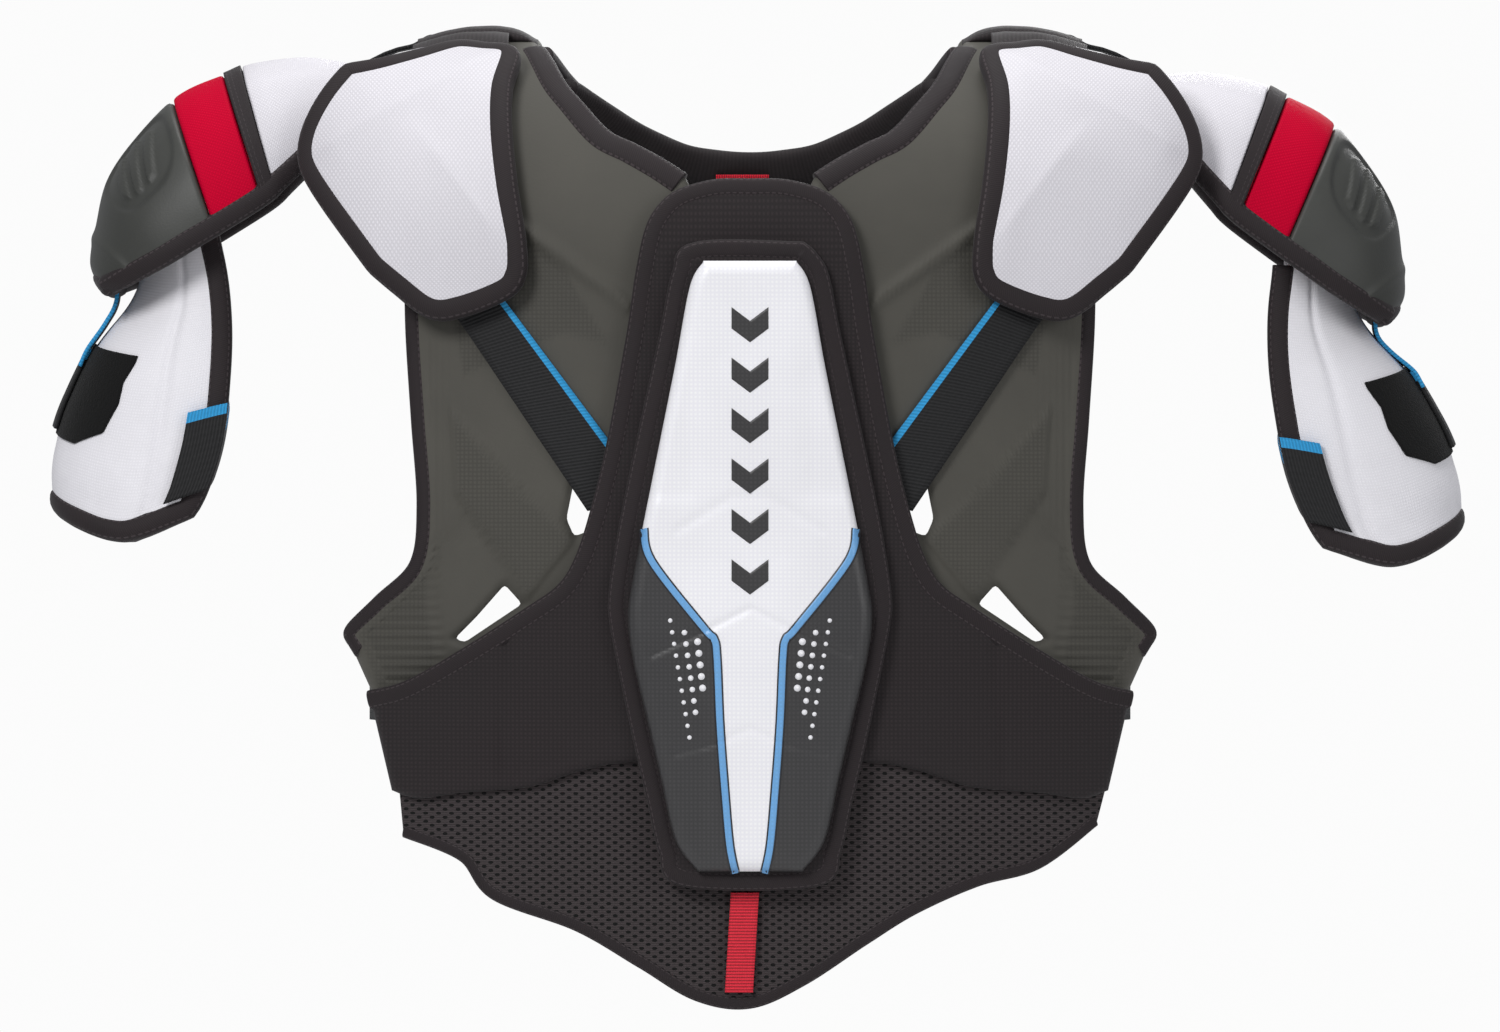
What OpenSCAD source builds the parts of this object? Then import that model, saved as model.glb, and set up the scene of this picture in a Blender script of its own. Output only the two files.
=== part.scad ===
// Hockey shoulder pads: chest and back shells, floating flaps, arm caps, biceps guards and straps.
// Millimetres. +Z is up, -Y is the wearer's front, +X is the wearer's left.

/* [Torso] */

// Half depth of the chest at its deepest, to the inside of the liner
chest_depth = 118; // [110:1:126]
// Half depth of the back at its deepest, to the inside of the liner
back_depth = 104; // [98:1:112]
// Thickness of the moulded foam plates
plate_thickness = 8; // [6:0.5:8]
// Thickness of the inner lining
liner_thickness = 3; // [2:0.5:3]
// Thickness of the hard sternum plate over its foam pad
sternum_thickness = 7.5; // [5:0.5:9]
// Extra thickness along the middle of the spine guard
spine_ridge = 6; // [0:1:8]

/* [Shoulder flaps] */

// Thickness of a shoulder flap
flap_thickness = 8; // [6:0.5:9]

/* [Arms] */

// Wall of an arm cap
cap_wall = 8.5; // [7:0.5:9.5]
// Wall of a biceps guard
guard_wall = 8.5; // [7:0.5:9.5]
// Extra hang of the wearer's left arm, degrees
left_droop = 4.5; // [0:0.5:6]
// Outward lean of the wearer's left biceps guard, degrees
left_splay = 9.5; // [0:0.5:10]

/* [Straps and edges] */

// Visible width of the edge binding
binding_width = 10; // [8:0.5:11]
// Height of a waist strap
waist_strap_height = 32; // [25:1:38]
// Thickness of the elastic webbing
webbing_thickness = 2; // [1.5:0.25:2]

/* [Hidden] */

RIGHT = -1;
LEFT = 1;
FRONT = 0;
BACK = 1;
FLAP = 2;

// The shoulders turn over from this height, on a rise that depends on the layer.
turn_z = -60;
body_rise = 108;
flap_rise = 122;
body_reference_rise = 120;
flap_reference_rise = 130;
turn_length = 130;
roundness = 2.4;
probe = 0.5;

// Distance of each layer outside the inner face of the lining.
plate_at = liner_thickness + 1;
plate_out = plate_at + plate_thickness;
strap_at = 12.8;
apron_at = 12.8;
apron_thickness = 2.4;
belly_at = 16.6;
belly_thickness = 4;
sternum_at = 21.6;
sternum_pad_thickness = 5;
sternum_plate_at = sternum_at + sternum_pad_thickness + 1;
bevel_share = 0.5;
edge_step = 0.05;

droop_pivot = [137, 0, -32];
guard_pivot = [318, 0, -60];

// ---- curves and surfaces -------------------------------------------------------------------

function mix(a, b, t) = a + (b - a) * t;
function unit(v) = v / norm(v);
function reversed(l) = [for (i = [len(l) - 1:-1:0]) l[i]];
function mirrored(l) = [for (p = l) [-p[0], p[1]]];
function whole(half) = concat(mirrored(half), [for (i = [len(half) - 2:-1:0]) half[i]]);

function blend4(a, b, c, d, t) =
    0.5 * (2 * b + (c - a) * t + (2 * a - 5 * b + 4 * c - d) * t * t + (3 * b - a - 3 * c + d) * t * t * t);
function along(pts, u) =
    let (n = len(pts) - 1, f = max(0, min(n - 1e-6, u * n)), i = floor(f))
    blend4(pts[max(0, i - 1)], pts[i], pts[min(n, i + 1)], pts[min(n, i + 2)], f - i);

// Height along the body's surface, from height above the floor: it follows the turn over the shoulder.
function reference_rise(kind) = kind == FLAP ? flap_reference_rise : body_reference_rise;
function wrapped(kind, pts) = [
    for (p = pts) [
        p[0],
        p[1] <= turn_z
            ? p[1]
            : turn_z + turn_length * asin(min(1, (p[1] - turn_z) / reference_rise(kind))) / 90
    ]
];

function half_depth(kind, z) =
    kind == BACK ? lookup(z, [[-450, back_depth - 14], [-250, back_depth], [100, back_depth]])
    : kind == FLAP ? chest_depth + 14
    : lookup(z, [[-450, chest_depth - 14], [-350, chest_depth - 6], [-250, chest_depth], [100, chest_depth]]);
function half_width(kind, z) =
    kind == BACK ? lookup(z, [[-450, 178], [-280, 190], [-200, 205], [100, 208]])
    : kind == FLAP ? 262
    : lookup(z, [[-450, 190], [-350, 204], [-265, 218], [-200, 222], [100, 222]]);
function rounding(x, a) = pow(max(0.001, 1 - pow(abs(x) / a, roundness)), 1 / roundness);

// A point of a layer: kind of surface, [x, wrapped height], distance outside the lining's face.
function on(kind, p, out) =
    let (
        turn = p[1] <= turn_z ? 0 : min(90, (p[1] - turn_z) / turn_length * 90),
        rise = (kind == FLAP ? flap_rise : body_rise) + out,
        z = p[1] <= turn_z ? p[1] : turn_z + rise * sin(turn),
        side = kind == BACK ? 1 : -1
    )
    [
        p[0],
        side * (half_depth(kind, z) + out) * cos(turn) * rounding(p[0], half_width(kind, z) + out),
        z
    ];
function normal_on(kind, p, out) =
    unit(cross(
        on(kind, p + [probe, 0], out) - on(kind, p - [probe, 0], out),
        on(kind, p + [0, probe], out) - on(kind, p - [0, probe], out)));

// ---- solids --------------------------------------------------------------------------------

function six_volumes(points, faces) = [
    for (f = faces) cross(points[f[0]], points[f[1]]) * points[f[2]]
];
function total(l) = [for (i = l) 1] * l;

// A closed solid from its points and triangles, whichever way round the triangles were listed.
module solid(points, faces) {
    outward = total(six_volumes(points, faces)) < 0;
    polyhedron(points, outward ? faces : [for (f = faces) [f[2], f[1], f[0]]], convexity = 8);
}

// A sheet with thickness, from two matching grids of points.
module skin(outer, inner) {
    rows = len(outer);
    columns = len(outer[0]);
    size = rows * columns;
    points = concat([for (r = outer) each r], [for (r = inner) each r]);
    rim = concat(
        [for (c = [0:columns - 1]) c],
        [for (r = [1:rows - 1]) r * columns + columns - 1],
        [for (c = [columns - 2:-1:0]) (rows - 1) * columns + c],
        [for (r = [rows - 2:-1:1]) r * columns]);
    faces = concat(
        [for (r = [0:rows - 2], c = [0:columns - 2]) let (k = r * columns + c)
            each [[k, k + columns, k + 1], [k + 1, k + columns, k + columns + 1]]],
        [for (r = [0:rows - 2], c = [0:columns - 2]) let (k = size + r * columns + c)
            each [[k, k + 1, k + columns], [k + 1, k + columns + 1, k + columns]]],
        [for (i = [0:len(rim) - 1]) let (a = rim[i], b = rim[(i + 1) % len(rim)])
            each [[a, b, a + size], [b, b + size, a + size]]]);
    solid(points, faces);
}

function steps(n) = concat([0, edge_step], [for (i = [1:n - 1]) i / n], [1 - edge_step, 1]);
function even_steps(n) = [for (i = [0:n]) i / n];
function at_rim(u, v) = u <= 0 || u >= 1 || v <= 0 || v >= 1;

// A panel ruled between two edge curves on a body surface. Bevelled panels are thinner at the rim.
module panel(kind, one, other, across, down, out, thickness, bevelled = false) {
    us = bevelled ? steps(across) : even_steps(across);
    vs = bevelled ? steps(down) : even_steps(down);
    a = wrapped(kind, one);
    b = wrapped(kind, other);
    spots = [for (v = vs) [for (u = us) mix(along(a, u), along(b, u), v)]];
    outer = [
        for (j = [0:len(vs) - 1]) [
            for (i = [0:len(us) - 1])
                on(kind, spots[j][i],
                    out + thickness * (bevelled && at_rim(us[i], vs[j]) ? bevel_share : 1))
        ]
    ];
    inner = [for (row = spots) [for (p = row) on(kind, p, out)]];
    skin(outer, inner);
}

// An oval cord along a path of [point, normal] pairs.
module cord(path, half_w, half_t, closed = false, sides = 8) {
    n = len(path);
    rings = [
        for (i = [0:n - 1])
            let (
                before = path[closed ? (i + n - 1) % n : max(0, i - 1)][0],
                after = path[closed ? (i + 1) % n : min(n - 1, i + 1)][0],
                side = unit(cross(after - before, path[i][1])),
                up = unit(cross(side, after - before))
            )
            [for (k = [0:sides - 1])
                path[i][0] + half_w * cos(360 * k / sides) * side + half_t * sin(360 * k / sides) * up]
    ];
    points = [for (r = rings) each r];
    walls = [
        for (i = [0:closed ? n - 1 : n - 2], k = [0:sides - 1])
            let (
                a = i * sides + k,
                b = i * sides + (k + 1) % sides,
                c = ((i + 1) % n) * sides + k,
                d = ((i + 1) % n) * sides + (k + 1) % sides
            )
            each [[a, b, c], [b, d, c]]
    ];
    last = (n - 1) * sides;
    ends = closed ? [] : [for (k = [1:sides - 2]) each [[0, k + 1, k], [last, last + k, last + k + 1]]];
    solid(points, concat(walls, ends));
}

function inset(pts, d, closed = false) =
    let (n = len(pts))
    [
        for (i = [0:n - 1])
            let (
                a = pts[closed ? (i + n - 1) % n : max(0, i - 1)],
                b = pts[closed ? (i + 1) % n : min(n - 1, i + 1)],
                t = unit(b - a)
            )
            pts[i] + d * [-t[1], t[0]]
    ];
function edge_path(kind, pts, out, n) =
    let (w = wrapped(kind, pts))
    [for (i = [0:n]) let (p = along(w, i / n)) [on(kind, p, out), normal_on(kind, p, out)]];
function loop_path(kind, pts, out, n) =
    let (w = wrapped(kind, concat(pts, [pts[0]])))
    [for (i = [0:n - 1]) let (p = along(w, i / n)) [on(kind, p, out), normal_on(kind, p, out)]];
function sided(s, pts) = [for (p = pts) [s * p[0], p[1]]];

// A flat strap standing on edge: a path seen from above, its height range and thickness.
module standing_strap(path, low, high, thickness) {
    n = len(path);
    sides = [
        for (i = [0:n - 1])
            let (t = unit(path[min(n - 1, i + 1)] - path[max(0, i - 1)])) [-t[1], t[0]] * thickness / 2
    ];
    outer = [for (z = [low, high]) [for (i = [0:n - 1]) [each (path[i] + sides[i]), z]]];
    inner = [for (z = [low, high]) [for (i = [0:n - 1]) [each (path[i] - sides[i]), z]]];
    skin(outer, inner);
}

// ---- chest ---------------------------------------------------------------------------------

chest_inner_edge = [
    [109, 59.98], [108, 52], [89, 26], [75, 10], [60, 2], [46, -6],
    [32, -16], [30, -50], [34, -110], [44, -180], [52, -240], [58, -290]];
chest_outer_edge = [
    [168, 59.98], [168, 45], [172, 20], [175, -20], [179, -80], [176, -130],
    [173, -175], [175, -212], [193, -232], [211, -251], [205, -264], [193, -290]];
neck_edge = [[108.5, 56], [99, 39], [89, 26], [75, 10], [60, 2], [46, -6], [34, -14]];
armhole_edge = [
    [168, 56], [170, 34], [173, 5], [178, -50], [178.5, -90], [175.5, -140], [172.5, -185],
    [176, -214], [194, -232], [209, -247], [209.5, -255], [205, -263]];

lower_window = [[127, -226], [118, -236], [148, -256], [153, -254], [142, -243]];
upper_window = [[91, -172], [95, -192], [91, -201], [80, -197], [80, -176]];

module window(s, outline) {
    rotate([90, 0, 0])
        linear_extrude(200)
            polygon([for (p = outline) [s * p[0], p[1]]]);
}

module chest_plate(s) {
    color([0.32, 0.32, 0.31])
        difference() {
            panel(FRONT, sided(s, chest_inner_edge), sided(s, chest_outer_edge), 16, 7,
                plate_at, plate_thickness, true);
            window(s, lower_window);
            window(s, upper_window);
        }
}

module chest_liner() {
    top = whole([[158, 38], [114, 44], [92, 16], [62, -10], [34, -26], [0, -30]]);
    bottom = whole([[168, -158], [138, -162], [98, -162], [74, -196], [60, -290], [0, -302]]);
    color([0.2, 0.18, 0.19])
        panel(FRONT, top, bottom, 18, 12, 0, liner_thickness);
}

module neck_binding(s) {
    path = sided(s, inset(neck_edge, binding_width / 2));
    color([0.2, 0.18, 0.19])
        cord(edge_path(FRONT, path, plate_at + plate_thickness / 2, 14),
            binding_width / 2, plate_thickness / 2 + 1.5);
}

module armhole_binding(s) {
    path = sided(s, inset(armhole_edge, -binding_width / 2));
    color([0.2, 0.18, 0.19])
        cord(edge_path(FRONT, path, plate_at + plate_thickness / 2, 30),
            binding_width / 2, plate_thickness / 2 + 1.5);
}

module cross_strap(s) {
    upper = [[143, -58], [127.7, -78], [76.4, -146.6], [52, -180]];
    lower = [[166, -72], [151.8, -88], [109, -151], [84, -188]];
    color([0.12, 0.12, 0.12])
        panel(FRONT, sided(s, upper), sided(s, lower), 10, 2, strap_at, webbing_thickness);
}

belly_half = [
    [198, -282], [179, -277], [152, -262], [116, -239], [99, -227], [90, -213], [82, -189],
    [73, -152], [63, -97], [56, -53], [44, -29], [22, -20], [0, -19]];
belly_foot = [
    [186, -333], [172, -337], [150, -334], [116, -331], [99, -326], [90, -323], [82, -321],
    [73, -319], [63, -318], [55, -317], [42, -316], [20, -316], [0, -316]];

module belly_panel() {
    color([0.2, 0.18, 0.19])
        panel(FRONT, whole(belly_half), whole(belly_foot), 24, 8, belly_at, belly_thickness);
}

module belly_binding() {
    path = inset(whole(belly_half), -binding_width / 2 + 1);
    color([0.16, 0.14, 0.15])
        cord(edge_path(FRONT, path, belly_at + belly_thickness / 2, 48),
            binding_width / 2, belly_thickness / 2 + 0.8, sides = 6);
}

apron_top = [
    [-184, -312], [-158, -310], [-124, -308], [-90, -306], [-60, -305], [-30, -304], [0, -304],
    [30, -304], [60, -305], [90, -306], [124, -308], [158, -310], [190, -312]];
apron_hem = [
    [-180, -356], [-150, -368], [-133, -388], [-90, -404], [-57, -423], [-28, -440], [0, -444],
    [28, -432], [60, -411], [86, -395], [118, -381], [150, -372], [180, -350]];

module mesh_apron() {
    color([0.1, 0.1, 0.1])
        panel(FRONT, apron_top, apron_hem, 24, 5, apron_at, apron_thickness);
}

module apron_binding() {
    path = inset(apron_hem, 2);
    color([0.2, 0.18, 0.19])
        cord(edge_path(FRONT, path, apron_at + apron_thickness / 2, 30), 3.5,
            apron_thickness / 2 + 0.7, sides = 6);
}

module tail_tape() {
    color([0.8, 0.15, 0.22])
        panel(FRONT, [[-9.9, -385], [-13, -437]], [[4.7, -385], [1.6, -437]], 4, 2,
            apron_at + apron_thickness + 2, 1.5);
}

sternum_pad_side = [
    [29, -52.5], [38, -64], [44.5, -95], [52.5, -132], [60, -167], [66.5, -200], [71, -230],
    [70.5, -246], [64.5, -277], [58, -308], [51, -338], [45, -364], [35, -379]];
sternum_plate_side = [
    [24, -59], [31, -72], [38.5, -112], [46.5, -152], [54.5, -192], [61, -226], [63, -243],
    [60.5, -264], [53.5, -294], [46, -326], [38.5, -358], [27, -374]];

module sternum_pad() {
    color([0.22, 0.2, 0.21])
        panel(FRONT, mirrored(sternum_pad_side), sternum_pad_side, 18, 6, sternum_at,
            sternum_pad_thickness);
}

module sternum_binding() {
    ring = concat(inset(sternum_pad_side, -binding_width / 2 + 2),
        reversed(mirrored(inset(sternum_pad_side, -binding_width / 2 + 2))));
    color([0.16, 0.14, 0.15])
        cord(loop_path(FRONT, ring, sternum_at + sternum_pad_thickness / 2, 44),
            binding_width / 2, sternum_pad_thickness / 2 + 0.6, closed = true, sides = 6);
}

module sternum_plate() {
    color([0.9, 0.9, 0.92])
        panel(FRONT, mirrored(sternum_plate_side), sternum_plate_side, 18, 6, sternum_plate_at,
            sternum_thickness, true);
}

module waist_anchor(s) {
    path = [for (p = [[172, -65], [184, -56], [192.5, -43.5]]) [s * p[0], p[1]]];
    middle = -281;
    color([0.12, 0.12, 0.12])
        standing_strap(path, middle - waist_strap_height / 2, middle + waist_strap_height / 2,
            webbing_thickness);
}

module waist_strap(s) {
    path = [
        for (p = [[194, -41.5], [198, -15], [198, 12], [195, 34], [192.5, 48], [191.5, 60]])
            [s * p[0], p[1]]];
    middle = -281;
    color([0.12, 0.12, 0.12])
        standing_strap(path, middle - waist_strap_height / 2, middle + waist_strap_height / 2,
            webbing_thickness);
}

// ---- back ----------------------------------------------------------------------------------

back_neck_half = [[108.5, 55], [99, 43], [87, 31], [70, 19], [54, 10], [40, 2], [22, -1], [0, -2]];
back_inner_edge = [
    [109, 59.98], [106, 53], [90, 35], [70, 20], [53, 9], [46, -8],
    [44, -60], [44, -130], [46, -190], [50, -248]];
back_outer_edge = [
    [168, 59.98], [168, 40], [170, 10], [170, -30], [164, -70], [146, -106],
    [116, -138], [88, -166], [80, -205], [78, -252]];
back_armhole_edge = [
    [168, 56], [168, 40], [170, 10], [170, -30], [164, -70], [146, -106],
    [116, -138], [88, -166], [80, -205], [78, -240]];
lower_back_side = 186;

module back_plate(s) {
    color([0.32, 0.32, 0.31])
        panel(BACK, sided(s, back_inner_edge), sided(s, back_outer_edge), 14, 6, plate_at,
            plate_thickness, true);
}

module spine_guard() {
    side = [[30, -10], [37, -20], [39, -60], [39, -120], [38, -180], [34, -240], [26, -258]];
    color([0.32, 0.32, 0.31])
        panel(BACK, mirrored(side), side, 12, 5, plate_at, plate_thickness + spine_ridge, true);
}

module back_liner() {
    top = whole([[130, 40], [114, 46], [90, 26], [56, 4], [26, -6], [0, -8]]);
    bottom = whole([[50, -290], [42, -292], [32, -294], [22, -295], [11, -296], [0, -296]]);
    color([0.2, 0.18, 0.19])
        panel(BACK, top, bottom, 16, 12, 0, liner_thickness);
}

module lower_back_panel() {
    top = whole([[lower_back_side, -262], [120, -264], [60, -266], [0, -266]]);
    bottom = whole([[lower_back_side - 7, -350], [120, -366], [60, -370], [0, -372]]);
    color([0.2, 0.18, 0.19])
        panel(BACK, top, bottom, 14, 4, plate_at, 5);
}

module lower_back_binding() {
    bottom = whole([[lower_back_side - 8, -348], [120, -364], [60, -368], [0, -370]]);
    color([0.16, 0.14, 0.15])
        cord(edge_path(BACK, bottom, plate_at + 2.5, 24), binding_width / 2 - 1, 3.6, sides = 6);
}

module collar_roll() {
    half = [[100, 55], [90, 47], [75, 34], [58, 21.5], [38, 10.5], [18, 5.6], [0, 4.3]];
    color([0.25, 0.23, 0.24])
        cord(edge_path(BACK, whole(half), -11, 28), 11, 6.5);
}

module back_neck_binding() {
    color([0.2, 0.18, 0.19])
        cord(edge_path(BACK, whole(back_neck_half), plate_at + plate_thickness / 2, 36),
            binding_width / 2, plate_thickness / 2 + 1.5);
}

module back_edge_binding(s) {
    path = sided(s, inset(back_armhole_edge, -binding_width / 2 + 2));
    color([0.2, 0.18, 0.19])
        cord(edge_path(BACK, path, plate_at + plate_thickness / 2, 20),
            binding_width / 2, plate_thickness / 2 + 1.5);
}

module neck_label() {
    color([0.75, 0.1, 0.2])
        panel(BACK, [[-18, 7.3], [10, 7.3]], [[-18, -5.6], [10, -5.6]], 4, 2, -19.8, 1);
}

module cap_strap(s) {
    path = [[178, 56], [185, 54.5], [192, 52], [199, 48.5]];
    near = 4;
    far = 32;
    outer = [for (y = [near, far]) [for (p = path) [s * p[0], y, p[1] + webbing_thickness / 2]]];
    inner = [for (y = [near, far]) [for (p = path) [s * p[0], y, p[1] - webbing_thickness / 2]]];
    color([0.12, 0.12, 0.12])
        skin(outer, inner);
}

// ---- shoulder flaps ------------------------------------------------------------------------

flap_outer_side = [
    [212, 45.8], [221, 34.5], [228, 22.5], [232.5, 11], [234, -1], [231, -12.5], [221, -29],
    [204, -53], [184, -74], [167, -86.5]];
flap_inner_side = [
    [152, 60.6], [138, 59.2], [121.5, 54], [124.5, 33], [124.5, 12], [121.5, -18], [117, -48],
    [117, -66], [125, -77], [147, -86]];
flap_top_tape = [[171, 51.8], [191, 46.8]];

module flap(s) {
    color([0.92, 0.91, 0.94])
        panel(FLAP, sided(s, flap_outer_side), sided(s, flap_inner_side), 16, 8, 0,
            flap_thickness, true);
}

module flap_binding(s) {
    ring = concat(inset(flap_outer_side, -binding_width / 2 + 1),
        reversed(inset(flap_inner_side, binding_width / 2 - 1)), flap_top_tape);
    color([0.2, 0.18, 0.19])
        cord(loop_path(FLAP, sided(s, ring), flap_thickness / 2, 44),
            binding_width / 2, flap_thickness / 2 + 1, closed = true);
}

// ---- arm caps ------------------------------------------------------------------------------

cap_crest = [
    [205, 46], [232, 50], [260, 47], [276, 41], [300, 30], [322, 8], [337, -14], [343, -38],
    [346, -58], [341, -70]];
cap_hem = [
    [222, 6], [232, -5], [244, -17], [254, -26], [276, -40], [292, -49], [305, -56.5], [318, -63],
    [329, -68.5], [337, -72]];
cap_half_depth = [50, 56, 62, 64, 66, 65, 62, 56, 48, 38];
cap_last = 9;

// A point of the cap: station from the inner end, angle from the crest, distance inside the skin.
function cap_outside(u, angle) =
    let (
        top = along(cap_crest, u / cap_last),
        low = along(cap_hem, u / cap_last),
        across = mix(top, low, 1 - cos(angle))
    )
    [across[0], along(cap_half_depth, u / cap_last) * sin(angle), across[1]];
function cap_normal(u, angle) =
    unit(cross(
        cap_outside(u + 0.05, angle) - cap_outside(u - 0.05, angle),
        cap_outside(u, angle + 1) - cap_outside(u, angle - 1)));
function cap_inward(u, angle) =
    let (n = cap_normal(u, angle), p = cap_outside(u, angle), core = [275, 0, -60])
    (core - p) * n > 0 ? n : -n;
function cap_point(s, u, angle, depth) =
    let (p = cap_outside(u, angle) + depth * cap_inward(max(0.3, min(8.7, u)), angle))
    [s * p[0], p[1], p[2]];

module arm_pose(s) {
    if (s == LEFT)
        translate(droop_pivot)
            rotate([0, left_droop, 0])
                translate(-droop_pivot)
                    children();
    else
        children();
}

module cap_piece(s, from, to, lengths, near, far, swing = 88, around = 14) {
    us = [for (i = [0:lengths]) mix(from, to, i / lengths)];
    angles = [for (i = [0:around]) mix(-swing, swing, i / around)];
    arm_pose(s)
        skin(
            [for (u = us) [for (a = angles) cap_point(s, u, a, near)]],
            [for (u = us) [for (a = angles) cap_point(s, u, a, far)]]);
}

seam = 0.012;
divider_from = 2.4;
band_from = 3;
cup_from = 4.15;

module cap_dome(s) {
    color([0.92, 0.91, 0.94])
        cap_piece(s, 0, divider_from - seam, 5, 0, cap_wall);
}

module cap_divider(s) {
    color([0.12, 0.12, 0.12])
        cap_piece(s, divider_from + seam, band_from - seam, 2, -1, cap_wall);
}

module cap_band(s) {
    color([0.78, 0.06, 0.18])
        cap_piece(s, band_from + seam, cup_from - seam, 3, 0, cap_wall);
}

module cap_cup(s) {
    color([0.3, 0.3, 0.29])
        cap_piece(s, cup_from + seam, cap_last, 9, 0, cap_wall);
}

module cap_binding(s) {
    stations = concat(
        [for (i = [0:14]) [i / 14 * 8.8, -88]],
        [for (i = [1:9]) [8.8, -88 + i * 176 / 10]],
        [for (i = [14:-1:0]) [i / 14 * 8.8, 88]]);
    path = [
        for (p = stations)
            let (n = cap_inward(max(0.3, min(8.7, p[0])), p[1]))
            [cap_point(s, p[0], p[1], cap_wall / 2), [s * n[0], n[1], n[2]]]
    ];
    color([0.2, 0.18, 0.19])
        arm_pose(s)
            cord(path, 6, cap_wall / 2 + 1.5);
}

// ---- biceps guards -------------------------------------------------------------------------

guard_start = 0;
guard_top = -38;
guard_end = 158;

function guard_inner(z) =
    lookup(-z, [[38, 284], [48, 282], [66, 278], [88, 276], [106, 276], [135, 278], [157, 281.5],
        [182, 290], [200, 303]]);
function guard_reach(z) =
    lookup(-z, [[38, 32], [60, 38.7], [74, 43.7], [85, 51.8], [100, 66], [118, 74.2], [140, 82.2],
        [165, 82.7], [185, 73.8], [205, 59]]);
function guard_half_depth(z) = lookup(-z, [[40, 42], [74, 46], [120, 54], [205, 58]]);
function guard_foot(angle) =
    lookup(angle > 90 ? 180 - angle : angle,
        [[-10, -181], [5, -189], [18, -198], [32, -198], [50, -192], [70, -186], [90, -180]]);
function guard_outside(h, angle) =
    let (z = mix(guard_top, guard_foot(angle), h))
    [guard_inner(z) + guard_reach(z) * sin(angle), -guard_half_depth(z) * cos(angle), z];
function guard_outward(h, angle) =
    let (
        n = unit(cross(
            guard_outside(h + 0.02, angle) - guard_outside(h - 0.02, angle),
            guard_outside(h, angle + 1) - guard_outside(h, angle - 1))),
        away = [sin(angle), -cos(angle), 0]
    )
    n * away > 0 ? n : -n;
function guard_point(s, h, angle, out) =
    let (p = guard_outside(h, angle) + out * guard_outward(max(0.02, min(0.98, h)), angle))
    [s * p[0], p[1], p[2]];

module guard_pose(s) {
    arm_pose(s)
        if (s == LEFT)
            translate(guard_pivot)
                rotate([0, -left_splay, 0])
                    translate(-guard_pivot)
                        children();
        else
            children();
}

module guard_piece(s, h0, h1, rows, a0, a1, columns, near, far) {
    hs = [for (i = [0:rows]) mix(h0, h1, i / rows)];
    angles = [for (i = [0:columns]) mix(a0, a1, i / columns)];
    guard_pose(s)
        skin(
            [for (h = hs) [for (a = angles) guard_point(s, h, a, near)]],
            [for (h = hs) [for (a = angles) guard_point(s, h, a, far)]]);
}

module biceps_guard(s) {
    color([0.92, 0.91, 0.94])
        guard_piece(s, 0, 1, 8, guard_start, guard_end, 14, -guard_wall, 0);
}

module guard_binding(s) {
    down = [for (i = [0:10]) [mix(0.03, 1, i / 10), guard_start]];
    foot = [for (i = [1:17]) [1, mix(guard_start, guard_end, i / 18)]];
    up = [for (i = [10:-1:0]) [mix(0.03, 1, i / 10), guard_end]];
    path = [
        for (p = concat(down, foot, up))
            let (n = guard_outward(max(0.02, min(0.98, p[0])), p[1]))
            [guard_point(s, p[0], p[1], -guard_wall / 2), [s * n[0], n[1], n[2]]]
    ];
    color([0.2, 0.18, 0.19])
        guard_pose(s)
            cord(path, 6, guard_wall / 2 + 1.5);
}

module loop_patch(s) {
    color([0.1, 0.1, 0.1])
        guard_piece(s, 0.44, 0.76, 4, 38, 112, 7, 0.6, 2);
}

module inner_loop(s) {
    color([0.12, 0.12, 0.12])
        guard_piece(s, 0.64, 0.95, 4, -4, 10, 3, 2.4, 4.2);
}

module biceps_tab(s) {
    color([0.12, 0.12, 0.12])
        guard_piece(s, 0.46, 0.74, 4, 78, 117, 6, 2.6, 2.6 + webbing_thickness);
}

// The fixed run of the strap passes behind the arm, then slants down across the open inner side.
strap_start = 121;
strap_finish = 305;
strap_top = -112;
strap_height = 34;
strap_fall = 34;

function strap_point(s, down, angle, out) =
    let (
        z = strap_top - down * strap_height - strap_fall * (angle - strap_start) / (strap_finish - strap_start),
        reach = angle < 180 ? guard_reach(z) : 0
    )
    [
        s * (guard_inner(z) + (reach + out) * sin(angle)),
        -(guard_half_depth(z) + out) * cos(angle),
        z
    ];

module biceps_strap(s) {
    downs = [for (i = [0:2]) i / 2];
    angles = [for (i = [0:16]) mix(strap_start, strap_finish, i / 16)];
    color([0.12, 0.12, 0.12])
        guard_pose(s)
            skin(
                [for (d = downs) [for (a = angles) strap_point(s, d, a, 3)]],
                [for (d = downs) [for (a = angles) strap_point(s, d, a, 3 + webbing_thickness)]]);
}

// ---- the nodes -----------------------------------------------------------------------------

back_plate(RIGHT);  // back_plate_right
back_plate(LEFT);  // back_plate_left
spine_guard();
back_liner();
lower_back_panel();
collar_roll();
back_neck_binding();
back_edge_binding(RIGHT);  // back_edge_binding_right
back_edge_binding(LEFT);  // back_edge_binding_left
lower_back_binding();
neck_label();
cap_strap(RIGHT);  // cap_strap_right
cap_strap(LEFT);  // cap_strap_left
chest_plate(RIGHT);  // chest_plate_right
chest_plate(LEFT);  // chest_plate_left
chest_liner();
neck_binding(RIGHT);  // neck_binding_right
neck_binding(LEFT);  // neck_binding_left
armhole_binding(RIGHT);  // armhole_binding_right
armhole_binding(LEFT);  // armhole_binding_left
cross_strap(RIGHT);  // cross_strap_right
cross_strap(LEFT);  // cross_strap_left
belly_panel();
belly_binding();
mesh_apron();
apron_binding();
tail_tape();
sternum_pad();
sternum_binding();
sternum_plate();
waist_anchor(RIGHT);  // waist_anchor_right
waist_anchor(LEFT);  // waist_anchor_left
flap(RIGHT);  // flap_right
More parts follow.
